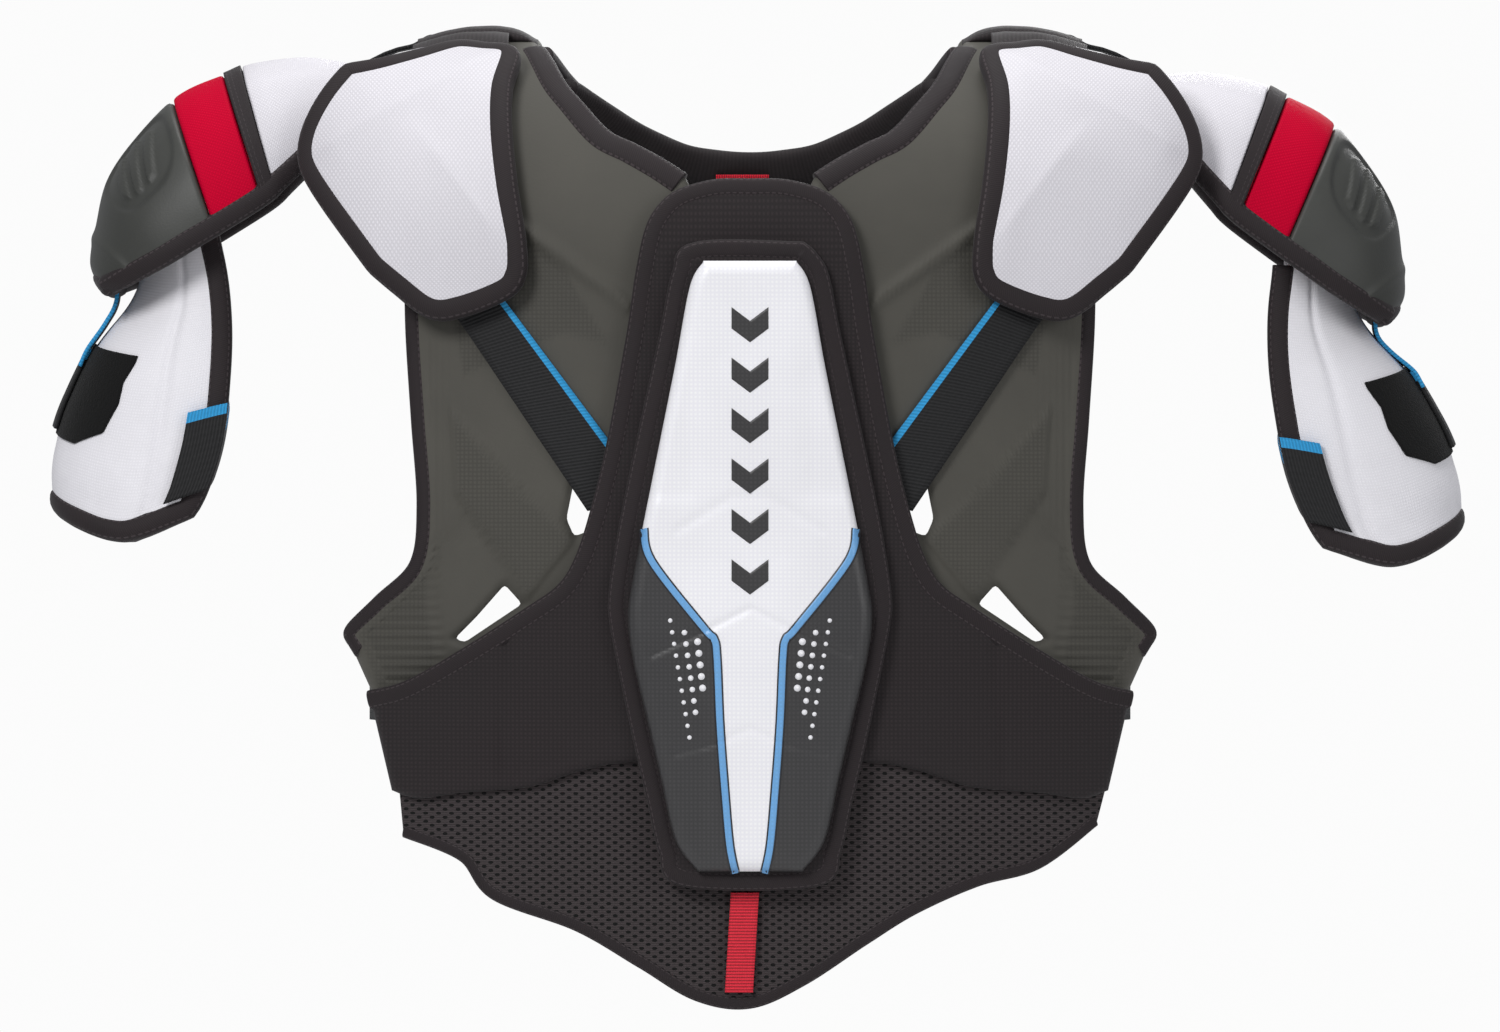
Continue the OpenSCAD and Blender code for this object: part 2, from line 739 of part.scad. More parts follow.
flap(LEFT);  // flap_left
flap_binding(RIGHT);  // flap_binding_right
flap_binding(LEFT);  // flap_binding_left
cap_dome(RIGHT);  // cap_dome_right
cap_dome(LEFT);  // cap_dome_left
cap_divider(RIGHT);  // cap_divider_right
cap_divider(LEFT);  // cap_divider_left
cap_band(RIGHT);  // cap_band_right
cap_band(LEFT);  // cap_band_left
cap_cup(RIGHT);  // cap_cup_right
cap_cup(LEFT);  // cap_cup_left
cap_binding(RIGHT);  // cap_binding_right
cap_binding(LEFT);  // cap_binding_left
biceps_guard(RIGHT);  // biceps_guard_right
biceps_guard(LEFT);  // biceps_guard_left
guard_binding(RIGHT);  // guard_binding_right
loop_patch(RIGHT);  // loop_patch_right
guard_binding(LEFT);  // guard_binding_left
loop_patch(LEFT);  // loop_patch_left
inner_loop(RIGHT);  // inner_loop_right
inner_loop(LEFT);  // inner_loop_left
biceps_strap(RIGHT);  // biceps_strap_right
biceps_strap(LEFT);  // biceps_strap_left
biceps_tab(RIGHT);  // biceps_tab_right
biceps_tab(LEFT);  // biceps_tab_left
waist_strap(RIGHT);  // waist_strap_right
waist_strap(LEFT);  // waist_strap_left
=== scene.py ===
import math

import bmesh
import bpy
import numpy as np
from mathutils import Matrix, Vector


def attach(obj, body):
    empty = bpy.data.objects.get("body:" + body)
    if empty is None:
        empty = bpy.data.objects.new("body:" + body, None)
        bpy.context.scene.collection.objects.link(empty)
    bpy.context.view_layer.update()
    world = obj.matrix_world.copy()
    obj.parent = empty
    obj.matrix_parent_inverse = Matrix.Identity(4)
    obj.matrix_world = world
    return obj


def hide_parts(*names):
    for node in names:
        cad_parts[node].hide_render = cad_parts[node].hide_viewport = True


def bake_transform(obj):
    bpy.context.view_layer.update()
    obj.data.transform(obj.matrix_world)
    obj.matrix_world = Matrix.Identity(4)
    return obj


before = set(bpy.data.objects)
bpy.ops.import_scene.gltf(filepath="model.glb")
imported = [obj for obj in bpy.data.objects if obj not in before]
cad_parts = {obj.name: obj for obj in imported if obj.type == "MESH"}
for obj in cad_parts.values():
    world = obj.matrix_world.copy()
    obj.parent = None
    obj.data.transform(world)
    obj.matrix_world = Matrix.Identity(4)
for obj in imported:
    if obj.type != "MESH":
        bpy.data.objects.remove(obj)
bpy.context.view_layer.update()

RIGHT, LEFT = -1, 1
SIDES = ((RIGHT, "right"), (LEFT, "left"))
FRONT, BACK, FLAP = 0, 1, 2
MM = 0.001

# ---- the same surfaces as part.scad, in millimetres ----------------------------------------

TURN_Z, TURN_LENGTH, ROUND = -60.0, 130.0, 2.4
RISE = {FRONT: 108.0, BACK: 108.0, FLAP: 122.0}
REFERENCE = {FRONT: 120.0, BACK: 120.0, FLAP: 130.0}
CHEST_DEPTH, BACK_DEPTH = 118.0, 104.0
PLATE_AT, PLATE_T = 4.0, 8.0
PLATE_MIDDLE, PLATE_TAPE = PLATE_AT + PLATE_T / 2, PLATE_T / 2 + 1.5
BELLY_AT, BELLY_T = 16.6, 4.0
STERNUM_AT, STERNUM_PAD_T, STERNUM_T = 21.6, 5.0, 7.5
STERNUM_PLATE_AT = STERNUM_AT + STERNUM_PAD_T + 1
APRON_AT, APRON_T = 12.8, 2.4
DROOP_PIVOT, GUARD_PIVOT = (137, 0, -32), (318, 0, -60)
LEFT_DROOP, LEFT_SPLAY = 4.5, 9.5


def mix(a, b, t):
    return a + (b - a) * t


def arr(pts):
    return np.array(pts, float)


def along(pts, u):
    """Points of the smooth curve through pts at shares u of the way along it."""
    pts = arr(pts)
    n = len(pts) - 1
    f = np.clip(np.asarray(u, float) * n, 0, n - 1e-6)
    i = np.floor(f).astype(int)
    t = (f - i)[..., None] if pts.ndim > 1 else f - i
    a, b = pts[np.maximum(0, i - 1)], pts[i]
    c, d = pts[np.minimum(n, i + 1)], pts[np.minimum(n, i + 2)]
    return 0.5 * (2 * b + (c - a) * t + (2 * a - 5 * b + 4 * c - d) * t * t + (3 * b - a - 3 * c + d) * t**3)


def q_of(kind, z):
    z = np.asarray(z, float)
    turned = TURN_Z + TURN_LENGTH * np.degrees(np.arcsin(np.clip((z - TURN_Z) / REFERENCE[kind], -1, 1))) / 90
    return np.where(z <= TURN_Z, z, turned)


def z_of(kind, q):
    q = np.asarray(q, float)
    turn = np.radians(np.clip((q - TURN_Z) / TURN_LENGTH * 90, 0, 90))
    return np.where(q <= TURN_Z, q, TURN_Z + REFERENCE[kind] * np.sin(turn))


def wrapped(kind, pts):
    p = arr(pts)
    return np.stack([p[:, 0], q_of(kind, p[:, 1])], 1)


def half_depth(kind, z):
    if kind == BACK:
        return np.interp(z, [-450, -250, 100], [BACK_DEPTH - 14, BACK_DEPTH, BACK_DEPTH])
    if kind == FLAP:
        return np.full_like(z, CHEST_DEPTH + 14)
    return np.interp(z, [-450, -350, -250, 100], [CHEST_DEPTH - 14, CHEST_DEPTH - 6, CHEST_DEPTH, CHEST_DEPTH])


def half_width(kind, z):
    if kind == BACK:
        return np.interp(z, [-450, -280, -200, 100], [178, 190, 205, 208])
    if kind == FLAP:
        return np.full_like(z, 262.0)
    return np.interp(z, [-450, -350, -265, -200, 100], [190, 204, 218, 222, 222])


def on(kind, x, q, out):
    x, q, out = np.broadcast_arrays(arr(x), arr(q), arr(out))
    turn = np.radians(np.clip((q - TURN_Z) / TURN_LENGTH * 90, 0, 90))
    z = np.where(q <= TURN_Z, q, TURN_Z + (RISE[kind] + out) * np.sin(turn))
    a = half_width(kind, z) + out
    bulge = np.maximum(0.001, 1 - (np.abs(x) / a) ** ROUND) ** (1 / ROUND)
    y = (1 if kind == BACK else -1) * (half_depth(kind, z) + out) * np.cos(turn) * bulge
    return np.stack([x, y, z], -1)


def unit(v):
    return v / np.maximum(1e-9, np.linalg.norm(v, axis=-1, keepdims=True))


def normal_on(kind, x, q, out):
    n = unit(np.cross(on(kind, x + 0.5, q, out) - on(kind, x - 0.5, q, out),
                      on(kind, x, q + 0.5, out) - on(kind, x, q - 0.5, out)))
    far = on(kind, x, q, out + 1) - on(kind, x, q, out)
    return n * np.sign((n * far).sum(-1, keepdims=True))


def line_distance(points, x, z):
    """Distance from each place to an open line, in the flat of the pattern."""
    p = np.stack([x.ravel(), z.ravel()], 1)
    pts = arr(points)
    best = np.full(len(p), 1e9)
    for s, e in zip(pts[:-1], pts[1:]):
        d = e - s
        ll = (d * d).sum()
        if ll < 1e-9:
            continue
        t = np.clip(((p - s) @ d) / ll, 0, 1)
        best = np.minimum(best, np.linalg.norm(p - (s + t[:, None] * d), axis=1))
    return best.reshape(x.shape)


def rim_distance(outline, x, z):
    """Distance from each place to a closed outline."""
    return line_distance(np.concatenate([outline, outline[:1]]), x, z)


def inside(outline, x, z):
    """Which points lie inside a closed outline."""
    a, b = outline, np.roll(outline, -1, 0)
    hit = np.zeros(x.shape, bool)
    for (ax, az), (bx, bz) in zip(a, b):
        if az == bz:
            continue
        cross = (az > z) != (bz > z)
        hit ^= cross & (x < (bx - ax) * (z - az) / (bz - az) + ax)
    return hit


def run_of(p):
    """How far along a row of points each one is."""
    return np.concatenate([[0], np.cumsum(np.linalg.norm(np.diff(p, axis=0), axis=1))])


def bell(x, width):
    """1 where x is 0, falling off smoothly over width."""
    return np.exp(-((x / width) ** 2))


def ease(t):
    t = np.clip(t, 0, 1)
    return t * t * (3 - 2 * t)


def crown(d, r):
    """A quarter-round edge: 0 at the rim, 1 from r inwards."""
    t = np.clip(d / r, 0, 1)
    return np.sqrt(np.maximum(0, 1 - (1 - t) ** 2))


def whole(half):
    return [[-x, z] for x, z in half] + [list(p) for p in half[-2::-1]]


def sided(s, pts):
    return [[s * x, z] for x, z in pts]


def inset(pts, d):
    """An open line moved sideways by d, in the flat of the pattern."""
    p = arr(pts)
    n = len(p)
    out = []
    for i in range(n):
        a, b = p[max(0, i - 1)], p[min(n - 1, i + 1)]
        t = (b - a) / np.linalg.norm(b - a)
        out.append(p[i] + d * np.array([-t[1], t[0]]))
    return out


# ---- materials -----------------------------------------------------------------------------


class Shade:
    """A small helper for building one material's nodes."""

    def __init__(self, name):
        self.mat = bpy.data.materials.new(name)
        self.mat.use_nodes = True
        self.tree = self.mat.node_tree
        self.bsdf = self.tree.nodes["Principled BSDF"]

    def node(self, kind, _set=None, **inputs):
        n = self.tree.nodes.new(kind)
        for k, v in (_set or {}).items():
            setattr(n, k, v)
        for k, v in inputs.items():
            key = int(k[1:]) if k[0] == "i" and k[1:].isdigit() else k.replace("_", " ")
            self.put(n.inputs[key], v)
        return n

    def put(self, socket, v):
        if isinstance(v, bpy.types.NodeSocket):
            self.tree.links.new(v, socket)
        elif isinstance(v, bpy.types.Node):
            self.tree.links.new(v.outputs[0], socket)
        else:
            socket.default_value = v

    def math(self, op, a, b=0.0, clamp=False):
        return self.node("ShaderNodeMath", {"operation": op, "use_clamp": clamp}, i0=a, i1=b).outputs[0]

    def mul(self, a, b, clamp=False):
        return self.math("MULTIPLY", a, b, clamp)

    def add(self, a, b):
        return self.math("ADD", a, b)

    def sub(self, a, b, clamp=False):
        return self.math("SUBTRACT", a, b, clamp)

    def uv(self):
        if not hasattr(self, "_uv"):
            self._uv = self.node("ShaderNodeUVMap", {"uv_map": "UVMap"}).outputs[0]
        return self._uv

    def uv_xy(self):
        if not hasattr(self, "_xy"):
            s = self.node("ShaderNodeSeparateXYZ", Vector=self.uv())
            self._xy = (s.outputs[0], s.outputs[1])
        return self._xy

    def place(self):
        if not hasattr(self, "_place"):
            self._place = self.node("ShaderNodeTexCoord").outputs["Object"]
        return self._place

    def noise(self, scale, detail=3.0, rough=0.5):
        return self.node("ShaderNodeTexNoise", Vector=self.place(), Scale=scale, Detail=detail,
                         Roughness=rough).outputs[0]

    def attribute(self, name):
        return self.node("ShaderNodeAttribute", {"attribute_name": name}).outputs["Fac"]

    def ramp(self, fac, stops):
        n = self.node("ShaderNodeValToRGB", Fac=fac)
        e = n.color_ramp.elements
        for k, (at, c) in enumerate(stops):
            e[k].position, e[k].color = at, (*c, 1)
        return n.outputs[0]

    def blend(self, fac, a, b, how="MIX"):
        n = self.node("ShaderNodeMix", {"data_type": "RGBA", "blend_type": how}, i0=fac)
        self.put(n.inputs[6], a if not isinstance(a, tuple) else (*a, 1))
        self.put(n.inputs[7], b if not isinstance(b, tuple) else (*b, 1))
        return n.outputs[2]

    def wave(self, along_socket, period, sharp=1.0):
        """0 to 1 stripes with this period, in metres, along one coordinate."""
        s = self.math("SINE", self.mul(along_socket, 2 * math.pi / period))
        w = self.math("MULTIPLY_ADD", s, 0.5)
        w.node.inputs[2].default_value = 0.5
        return w if sharp == 1.0 else self.math("POWER", w, sharp)

    def bump(self, height, strength=0.3, distance=0.0006):
        return self.node("ShaderNodeBump", Height=height, Strength=strength, Distance=distance).outputs[0]

    def finish(self, color, rough=0.6, normal=None, sheen=0.0, coat=0.0, coat_rough=0.3, spec=0.5):
        self.put(self.bsdf.inputs["Base Color"], color if not isinstance(color, tuple) else (*color, 1))
        self.put(self.bsdf.inputs["Roughness"], rough)
        if normal is not None:
            self.put(self.bsdf.inputs["Normal"], normal)
        self.bsdf.inputs["Sheen Weight"].default_value = sheen
        self.bsdf.inputs["Sheen Roughness"].default_value = 0.45
        self.bsdf.inputs["Coat Weight"].default_value = coat
        self.bsdf.inputs["Coat Roughness"].default_value = coat_rough
        self.bsdf.inputs["Specular IOR Level"].default_value = spec
        return self.mat


def lin(r, g, b):
    """An sRGB colour of 0 to 255 as linear values."""
    return tuple((c / 255 / 12.92) if c <= 10 else ((c / 255 + 0.055) / 1.055) ** 2.4 for c in (r, g, b))


def tone(rgb, gain, plus=0.0):
    """A colour made lighter or darker."""
    return tuple(min(1, c * gain + plus) for c in rgb)


def woven(name, rgb, thread=0.0007, contrast=0.25, rough=0.75, sheen=0.25, bump=0.35, patch=18, spread=0.12,
          diagonal=False, coat=0.0, rim_darkening=0.0, spec=0.4):
    s = Shade(name)
    u, v = s.uv_xy()
    if diagonal:
        u, v = s.add(u, v), s.sub(u, v)
    a, b = s.wave(u, thread), s.wave(v, thread)
    over = s.mul(a, b)
    height = s.add(s.mul(over, 0.8), s.mul(s.noise(900, 2), 0.35))
    base = lin(*rgb)
    dark = tone(base, 1 - contrast)
    color = s.blend(s.mul(over, 1.0, True), dark, base)
    patchy = s.noise(patch, 4)
    low = tone((1, 1, 1), 1 - spread)
    color = s.blend(1.0, color, s.ramp(patchy, [(0.3, low), (0.7, (1, 1, 1))]), "MULTIPLY")
    # Darker in noisy patches towards the rims and seams.
    if rim_darkening:
        edge = s.sub(1.0, s.mul(s.attribute("rim"), 3.0), True)
        edge = s.mul(edge, s.mul(s.noise(120, 4), rim_darkening), True)
        color = s.blend(edge, color, tone(base, 0.55))
    r = s.add(rough - 0.08, s.mul(patchy, 0.16))
    return s.finish(color, r, s.bump(height, bump, 0.0005), sheen, coat, 0.35, spec)


def foam_material(name, rgb, rough=0.72, grain=650.0):
    s = Shade(name)
    cells = s.node("ShaderNodeTexVoronoi", Vector=s.place(), Scale=grain).outputs[0]
    fine = s.noise(grain * 1.7, 3)
    height = s.add(s.mul(cells, 0.3), s.mul(fine, 0.3))
    base = lin(*rgb)
    patchy = s.noise(14, 5, 0.6)
    color = s.ramp(patchy, [(0.25, tone(base, 0.84)), (0.75, tone(base, 1.1))])
    u, v = s.uv_xy()
    squares = s.mul(s.wave(u, 0.0022, 0.5), s.wave(v, 0.0022, 0.5))
    grid = s.mul(s.attribute("band"), s.sub(1.0, squares))
    height = s.sub(height, s.mul(grid, 1.3))
    # Painted shade: the sunk grid lines are also darkened in colour.
    color = s.blend(s.mul(grid, 0.5), color, tone(base, 0.45))
    # Painted shade: the foam colour is darkened along its grooves, window edges and joints.
    groove_shade = s.attribute("groove_shade")
    color = s.blend(s.mul(groove_shade, 0.45), color, tone(base, 0.45))
    edge = s.sub(1.0, s.mul(s.attribute("rim"), 2.5), True)
    scuff = s.mul(edge, s.mul(s.noise(160, 5), 0.5), True)
    color = s.blend(scuff, color, tone(base, 1.7))
    r = s.add(rough - 0.1, s.mul(patchy, 0.2))
    return s.finish(color, r, s.bump(height, 0.25, 0.0004), 0.03, 0.0, 0.3, 0.35)


def webbing(name, rgb, edge_rgb=None, rib=0.0019, edge_at=0.88):
    """Elastic webbing: UV.x runs along it in metres, and UV.y from 0 to 1 across it."""
    s = Shade(name)
    u, v = s.uv_xy()
    ribs = s.wave(u, rib)
    cords = s.wave(v, 0.085)
    height = s.add(ribs, s.mul(cords, 0.5))
    base = lin(*rgb)
    color = s.blend(ribs, tone(base, 0.4), tone(base, 1.9))
    color = s.blend(s.mul(s.noise(500, 2), 0.35), color, tone(base, 1.9, 0.01))
    if edge_rgb:
        line = s.math("GREATER_THAN", v, edge_at)
        tint = s.blend(ribs, tone(lin(*edge_rgb), 0.7), lin(*edge_rgb))
        color = s.blend(line, color, tint)
    return s.finish(color, 0.72, s.bump(height, 0.5, 0.0005), 0.05, 0.0, 0.3, 0.3)


def binding_material(name, rgb):
    """Edge tape: UV.x runs along it in metres, and UV.y from 0 to 1 round it."""
    s = Shade(name)
    u, v = s.uv_xy()
    twill = s.wave(s.add(u, s.mul(v, 0.018)), 0.0011)
    base = lin(*rgb)
    color = s.blend(twill, tone(base, 0.72), tone(base, 1.12))
    patchy = s.noise(40, 4)
    color = s.blend(1.0, color, s.ramp(patchy, [(0.3, (0.85, 0.85, 0.85)), (0.75, (1.1, 1.1, 1.1))]), "MULTIPLY")
    dash = s.math("GREATER_THAN", s.wave(u, 0.0034), 0.32)
    one = s.math("LESS_THAN", s.math("ABSOLUTE", s.sub(v, 0.135)), 0.016)
    two = s.math("LESS_THAN", s.math("ABSOLUTE", s.sub(v, 0.365)), 0.016)
    line = s.mul(dash, s.math("MAXIMUM", one, two))
    color = s.blend(s.mul(line, 0.6), color, tone(base, 2.4, 0.02))
    height = s.add(s.mul(twill, 0.4), s.mul(line, 1.0))
    return s.finish(color, s.add(0.62, s.mul(patchy, 0.2)),
                    s.bump(height, 0.4, 0.0004), 0.08, 0.0, 0.3, 0.3)


MAT = {
    "foam": foam_material("eva_foam_grey", (78, 76, 70)),
    "foam_dark": foam_material("eva_foam_dark", (58, 58, 56)),
    "cup": foam_material("cap_cup_grey", (60, 61, 58), 0.5, 900),
    "binding": binding_material("edge_tape", (40, 33, 35)),
    "binding_belly": binding_material("edge_tape_belly", (38, 31, 33)),
    "white": woven("white_cover", (236, 233, 239), 0.0022, 0.20, 0.55, 0.05, 0.35, 12, 0.08, True, 0.06, 0.35),
    "white_flat": woven("white_guard_cover", (250, 248, 253), 0.0015, 0.10, 0.55, 0.05, 0.3, 10, 0.07, False, 0.06,
                        0.3),
    "red": woven("red_cover", (212, 0, 50), 0.0022, 0.22, 0.65, 0.0, 0.35, 12, 0.1, True, 0.0, 0.15, 0.05),
    "elastic": webbing("elastic_black", (24, 24, 25)),
    "elastic_blue": webbing("elastic_black_blue_edge", (24, 24, 25), (50, 160, 220)),
    "dark": woven("dark_cover", (46, 38, 40), 0.0022, 0.5, 0.82, 0.08, 0.3, 20, 0.16),
    "liner": woven("lining", (44, 40, 42), 0.0014, 0.35, 0.85, 0.1, 0.3, 20, 0.1, True),
    "red_tape": webbing("red_grosgrain", (180, 30, 46), None, 0.0016),
    "label": webbing("red_label", (190, 24, 44), None, 0.0012),
}


def pile_material():
    s = Shade("loop_pile")
    fuzz = s.noise(1500, 5, 0.75)
    loops = s.node("ShaderNodeTexVoronoi", Vector=s.place(), Scale=950.0).outputs[0]
    height = s.add(fuzz, loops)
    base = lin(20, 20, 20)
    color = s.blend(fuzz, tone(base, 0.5), tone(base, 1.7))
    return s.finish(color, 0.95, s.bump(height, 0.45, 0.0007), 0.1, 0.0, 0.3, 0.15)


def mesh_material():
    """Spacer mesh: offset rows of dark holes in a knitted ground."""
    s = Shade("spacer_mesh_black")
    u, v = s.uv_xy()
    pitch = 0.0068
    a, b = s.wave(u, pitch), s.wave(v, pitch * 0.62)
    c, d = s.wave(s.add(u, pitch / 2), pitch), s.wave(s.add(v, pitch * 0.31), pitch * 0.62)
    hole = s.math("MAXIMUM", s.mul(a, b), s.mul(c, d))
    pit = s.math("GREATER_THAN", hole, 0.68)
    knit = s.wave(s.add(v, s.mul(s.noise(600, 2), 0.0004)), 0.0009)
    ground = s.blend(knit, lin(46, 41, 42), lin(72, 65, 66))
    color = s.blend(pit, ground, lin(10, 10, 10))
    height = s.sub(s.mul(knit, 0.3), s.mul(pit, 1.0))
    return s.finish(color, 0.85, s.bump(height, 0.6, 0.0009), 0.06, 0.0, 0.3, 0.25)


def print_material(name, rgb, rough=0.42, grain=0.06):
    s = Shade(name)
    u, v = s.uv_xy()
    fine = s.mul(s.wave(u, 0.0022), s.wave(v, 0.0022))
    base = lin(*rgb)
    color = s.blend(s.mul(fine, 1.0), tone(base, 1 - grain), tone(base, 1 + grain))
    patchy = s.noise(16, 4)
    color = s.blend(1.0, color, s.ramp(patchy, [(0.3, (0.94, 0.94, 0.94)), (0.7, (1, 1, 1))]), "MULTIPLY")
    r = s.add(rough - 0.06, s.mul(patchy, 0.14))
    return s.finish(color, r, s.bump(fine, 0.15, 0.0003), 0.0, 0.25, 0.3)


MAT["pile"] = pile_material()
MAT["mesh"] = mesh_material()
MAT["plate_white"] = print_material("sternum_white", (249, 248, 253))
MAT["plate_dark"] = print_material("sternum_charcoal", (56, 55, 56), 0.5, 0.25)
MAT["plate_blue"] = print_material("sternum_blue", (112, 172, 226), 0.4)
MAT["plate_line"] = print_material("sternum_outline", (34, 36, 42), 0.45)

# ---- meshes --------------------------------------------------------------------------------


def piece(name, verts, faces, uvs, mat, body, replaces=(), rim=None, groove_shade=None):
    """A finished piece: points in mm, a UV for each, and the body it rides on; a piece given two bodies stays where
    it is made.
    """
    mesh = bpy.data.meshes.new(name)
    mesh.from_pydata((np.asarray(verts) * MM).tolist(), [], faces)
    layer = mesh.uv_layers.new(name="UVMap")
    uv = np.asarray(uvs, float)
    index = np.zeros(len(mesh.loops), np.int32)
    mesh.loops.foreach_get("vertex_index", index)
    layer.data.foreach_set("uv", uv[index].astype(np.float32).ravel())
    # The groove values mark where painted shade darkens the foam colour.
    for key, values in (("rim", rim), ("groove_shade", groove_shade)):
        at = mesh.attributes.new(key, "FLOAT", "POINT")
        at.data.foreach_set("value", (np.ones(len(verts)) * (1.0 if key == "rim" else 0.0)
                                      if values is None else np.asarray(values, float)).astype(np.float32))
    mesh.materials.append(mat)
    mesh.polygons.foreach_set("use_smooth", np.ones(len(mesh.polygons), bool))
    obj = bpy.data.objects.new(name, mesh)
    bpy.context.scene.collection.objects.link(obj)
    bm = bmesh.new()
    bm.from_mesh(mesh)
    bmesh.ops.recalc_face_normals(bm, faces=bm.faces)
    bm.to_mesh(mesh)
    bm.free()
    if isinstance(body, tuple):
        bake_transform(obj)
    else:
        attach(obj, body)
    if replaces:
        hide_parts(*replaces)
    return obj


def grid_faces(rows, columns, start=0, flip=False):
    r, c = np.meshgrid(np.arange(rows - 1), np.arange(columns - 1), indexing="ij")
    k = (start + r * columns + c).ravel()
    quad = np.stack([k, k + columns, k + columns + 1, k + 1], 1)
    return (quad[:, ::-1] if flip else quad).tolist()


def closed_grid(outer, inner):
    """Points and faces of a sheet with thickness."""
    rows, columns = outer.shape[:2]
    size = rows * columns
    faces = grid_faces(rows, columns) + grid_faces(rows, columns, size, True)
    rim = ([c for c in range(columns)] + [r * columns + columns - 1 for r in range(1, rows)]
           + [(rows - 1) * columns + c for c in range(columns - 2, -1, -1)]
           + [r * columns for r in range(rows - 2, 0, -1)])
    for i, a in enumerate(rim):
        b = rim[(i + 1) % len(rim)]
        faces.append([a, b, b + size, a + size])
    return np.concatenate([outer.reshape(-1, 3), inner.reshape(-1, 3)]), faces


def stations(n, crowd=0.75):
    s = np.linspace(0, 1, n + 1)
    return s - crowd * np.sin(2 * np.pi * s) / (2 * np.pi)


def panel(name, kind, one, other, across, down, out, depth, mat, body, replaces=(), under=0.35,
          groove_shade=None, crowd=0.75):
    """A panel ruled between two edge curves. depth(x, z, rim) is its thickness at a place."""
    a, b = wrapped(kind, one), wrapped(kind, other)
    us, vs = stations(across, crowd), stations(down, crowd)
    ca, cb = along(a, us), along(b, us)
    spots = mix(ca[None], cb[None], vs[:, None, None])
    x, q = spots[..., 0], spots[..., 1]
    z = z_of(kind, q)
    outline = np.concatenate([ca, cb[::-1]])
    d = rim_distance(outline, x, q)
    t = depth(x, z, d)
    outer = on(kind, x, q, out + np.maximum(t, 0.05))
    inner = on(kind, x, q, out + under * (1 - crown(d, 4.0)))
    verts, faces = closed_grid(outer, inner)
    uv = np.stack([x, q], -1).reshape(-1, 2) * MM
    rims = np.clip(d / 30, 0, 1).ravel()
    g = None if groove_shade is None else np.concatenate([groove_shade(x, z, d).ravel(), np.zeros(x.size)])
    return piece(name, verts, faces, np.concatenate([uv, uv]), mat, body, replaces,
                 np.concatenate([rims, rims]), g)


def edge_path(kind, pts, out, n, closed=False):
    pts = list(map(list, pts))
    w = wrapped(kind, pts + [pts[0]] if closed else pts)
    u = np.arange(n) / n if closed else np.linspace(0, 1, n + 1)
    p = along(w, u)
    return on(kind, p[:, 0], p[:, 1], out), normal_on(kind, p[:, 0], p[:, 1], out)


def tube(name, path, half_w, half_t, mat, body, replaces=(), closed=False, sides=20, square=0.75,
         lumps=0.0):
    """Edge tape or a roll along a path. Its section is a rounded box, flat against the panel."""
    p, n = path
    count = len(p)
    before = np.roll(p, 1, 0) if closed else np.concatenate([p[:1], p[:-1]])
    after = np.roll(p, -1, 0) if closed else np.concatenate([p[1:], p[-1:]])
    t = unit(after - before)
    side = unit(np.cross(t, n))
    up = unit(np.cross(side, t))
    k = np.arange(sides + 1) / sides
    c, s = np.cos(2 * np.pi * k), np.sin(2 * np.pi * k)
    c = np.sign(c) * np.abs(c) ** square
    s = np.sign(s) * np.abs(s) ** square
    run = run_of(p)
    puff = 1 + lumps * np.sin(run / 5.5) if lumps else np.ones(count)
    rings = (p[:, None] + half_w * c[None, :, None] * side[:, None]
             + (half_t * puff)[:, None, None] * s[None, :, None] * up[:, None])
    uv = np.stack(np.broadcast_arrays(run[:, None] * MM, k[None]), -1)
    if closed:
        rings = np.concatenate([rings, rings[:1]])
        last = run[-1] + np.linalg.norm(p[0] - p[-1])
        uv = np.concatenate([uv, np.stack([np.full(sides + 1, last * MM), k], -1)[None]])
    rows = len(rings)
    verts = rings.reshape(-1, 3)
    faces = grid_faces(rows, sides + 1)
    if not closed:
        faces.append(list(range(sides)))
        faces.append([(rows - 1) * (sides + 1) + j for j in range(sides - 1, -1, -1)])
    obj = piece(name, verts, faces, uv.reshape(-1, 2), mat, body, replaces)
    weld(obj)
    return obj


def weld(obj, distance=0.00002):
    bm = bmesh.new()
    bm.from_mesh(obj.data)
    bmesh.ops.remove_doubles(bm, verts=bm.verts, dist=distance)
    bmesh.ops.recalc_face_normals(bm, faces=bm.faces)
    bm.to_mesh(obj.data)
    bm.free()


CORNER_CUT = 2.2
CUTTER_NEAR, CUTTER_FAR = -0.2, -0.03


def cut_through(obj, outlines, s):
    """Openings cut right through a chest plate, with rounded corners."""
    for k, outline in enumerate(outlines):
        ring = []
        for i, p in enumerate(outline):
            a, b = outline[i - 1], outline[(i + 1) % len(outline)]
            for share in (0.0, 0.5, 1.0):
                start, end = p + CORNER_CUT * unit(a - p), p + CORNER_CUT * unit(b - p)
                ring.append((1 - share) ** 2 * start + 2 * share * (1 - share) * p + share**2 * end)
        bm = bmesh.new()
        near, far = ([bm.verts.new((s * x * MM, y, z * MM)) for x, z in ring] for y in (CUTTER_NEAR, CUTTER_FAR))
        bm.faces.new(near)
        bm.faces.new(far[::-1])
        for i in range(len(ring)):
            j = (i + 1) % len(ring)
            bm.faces.new((near[i], near[j], far[j], far[i]))
        bmesh.ops.recalc_face_normals(bm, faces=bm.faces)
        cutter_mesh = bpy.data.meshes.new(f"cutter_{k}")
        bm.to_mesh(cutter_mesh)
        bm.free()
        cutter = bpy.data.objects.new(f"cutter_{k}", cutter_mesh)
        bpy.context.scene.collection.objects.link(cutter)
        mod = obj.modifiers.new("opening", "BOOLEAN")
        mod.operation, mod.solver, mod.object = "DIFFERENCE", "EXACT", cutter
        bpy.context.view_layer.update()
        mesh = bpy.data.meshes.new_from_object(obj.evaluated_get(bpy.context.evaluated_depsgraph_get()))
        obj.modifiers.clear()
        obj.data = mesh
        bpy.data.objects.remove(cutter)


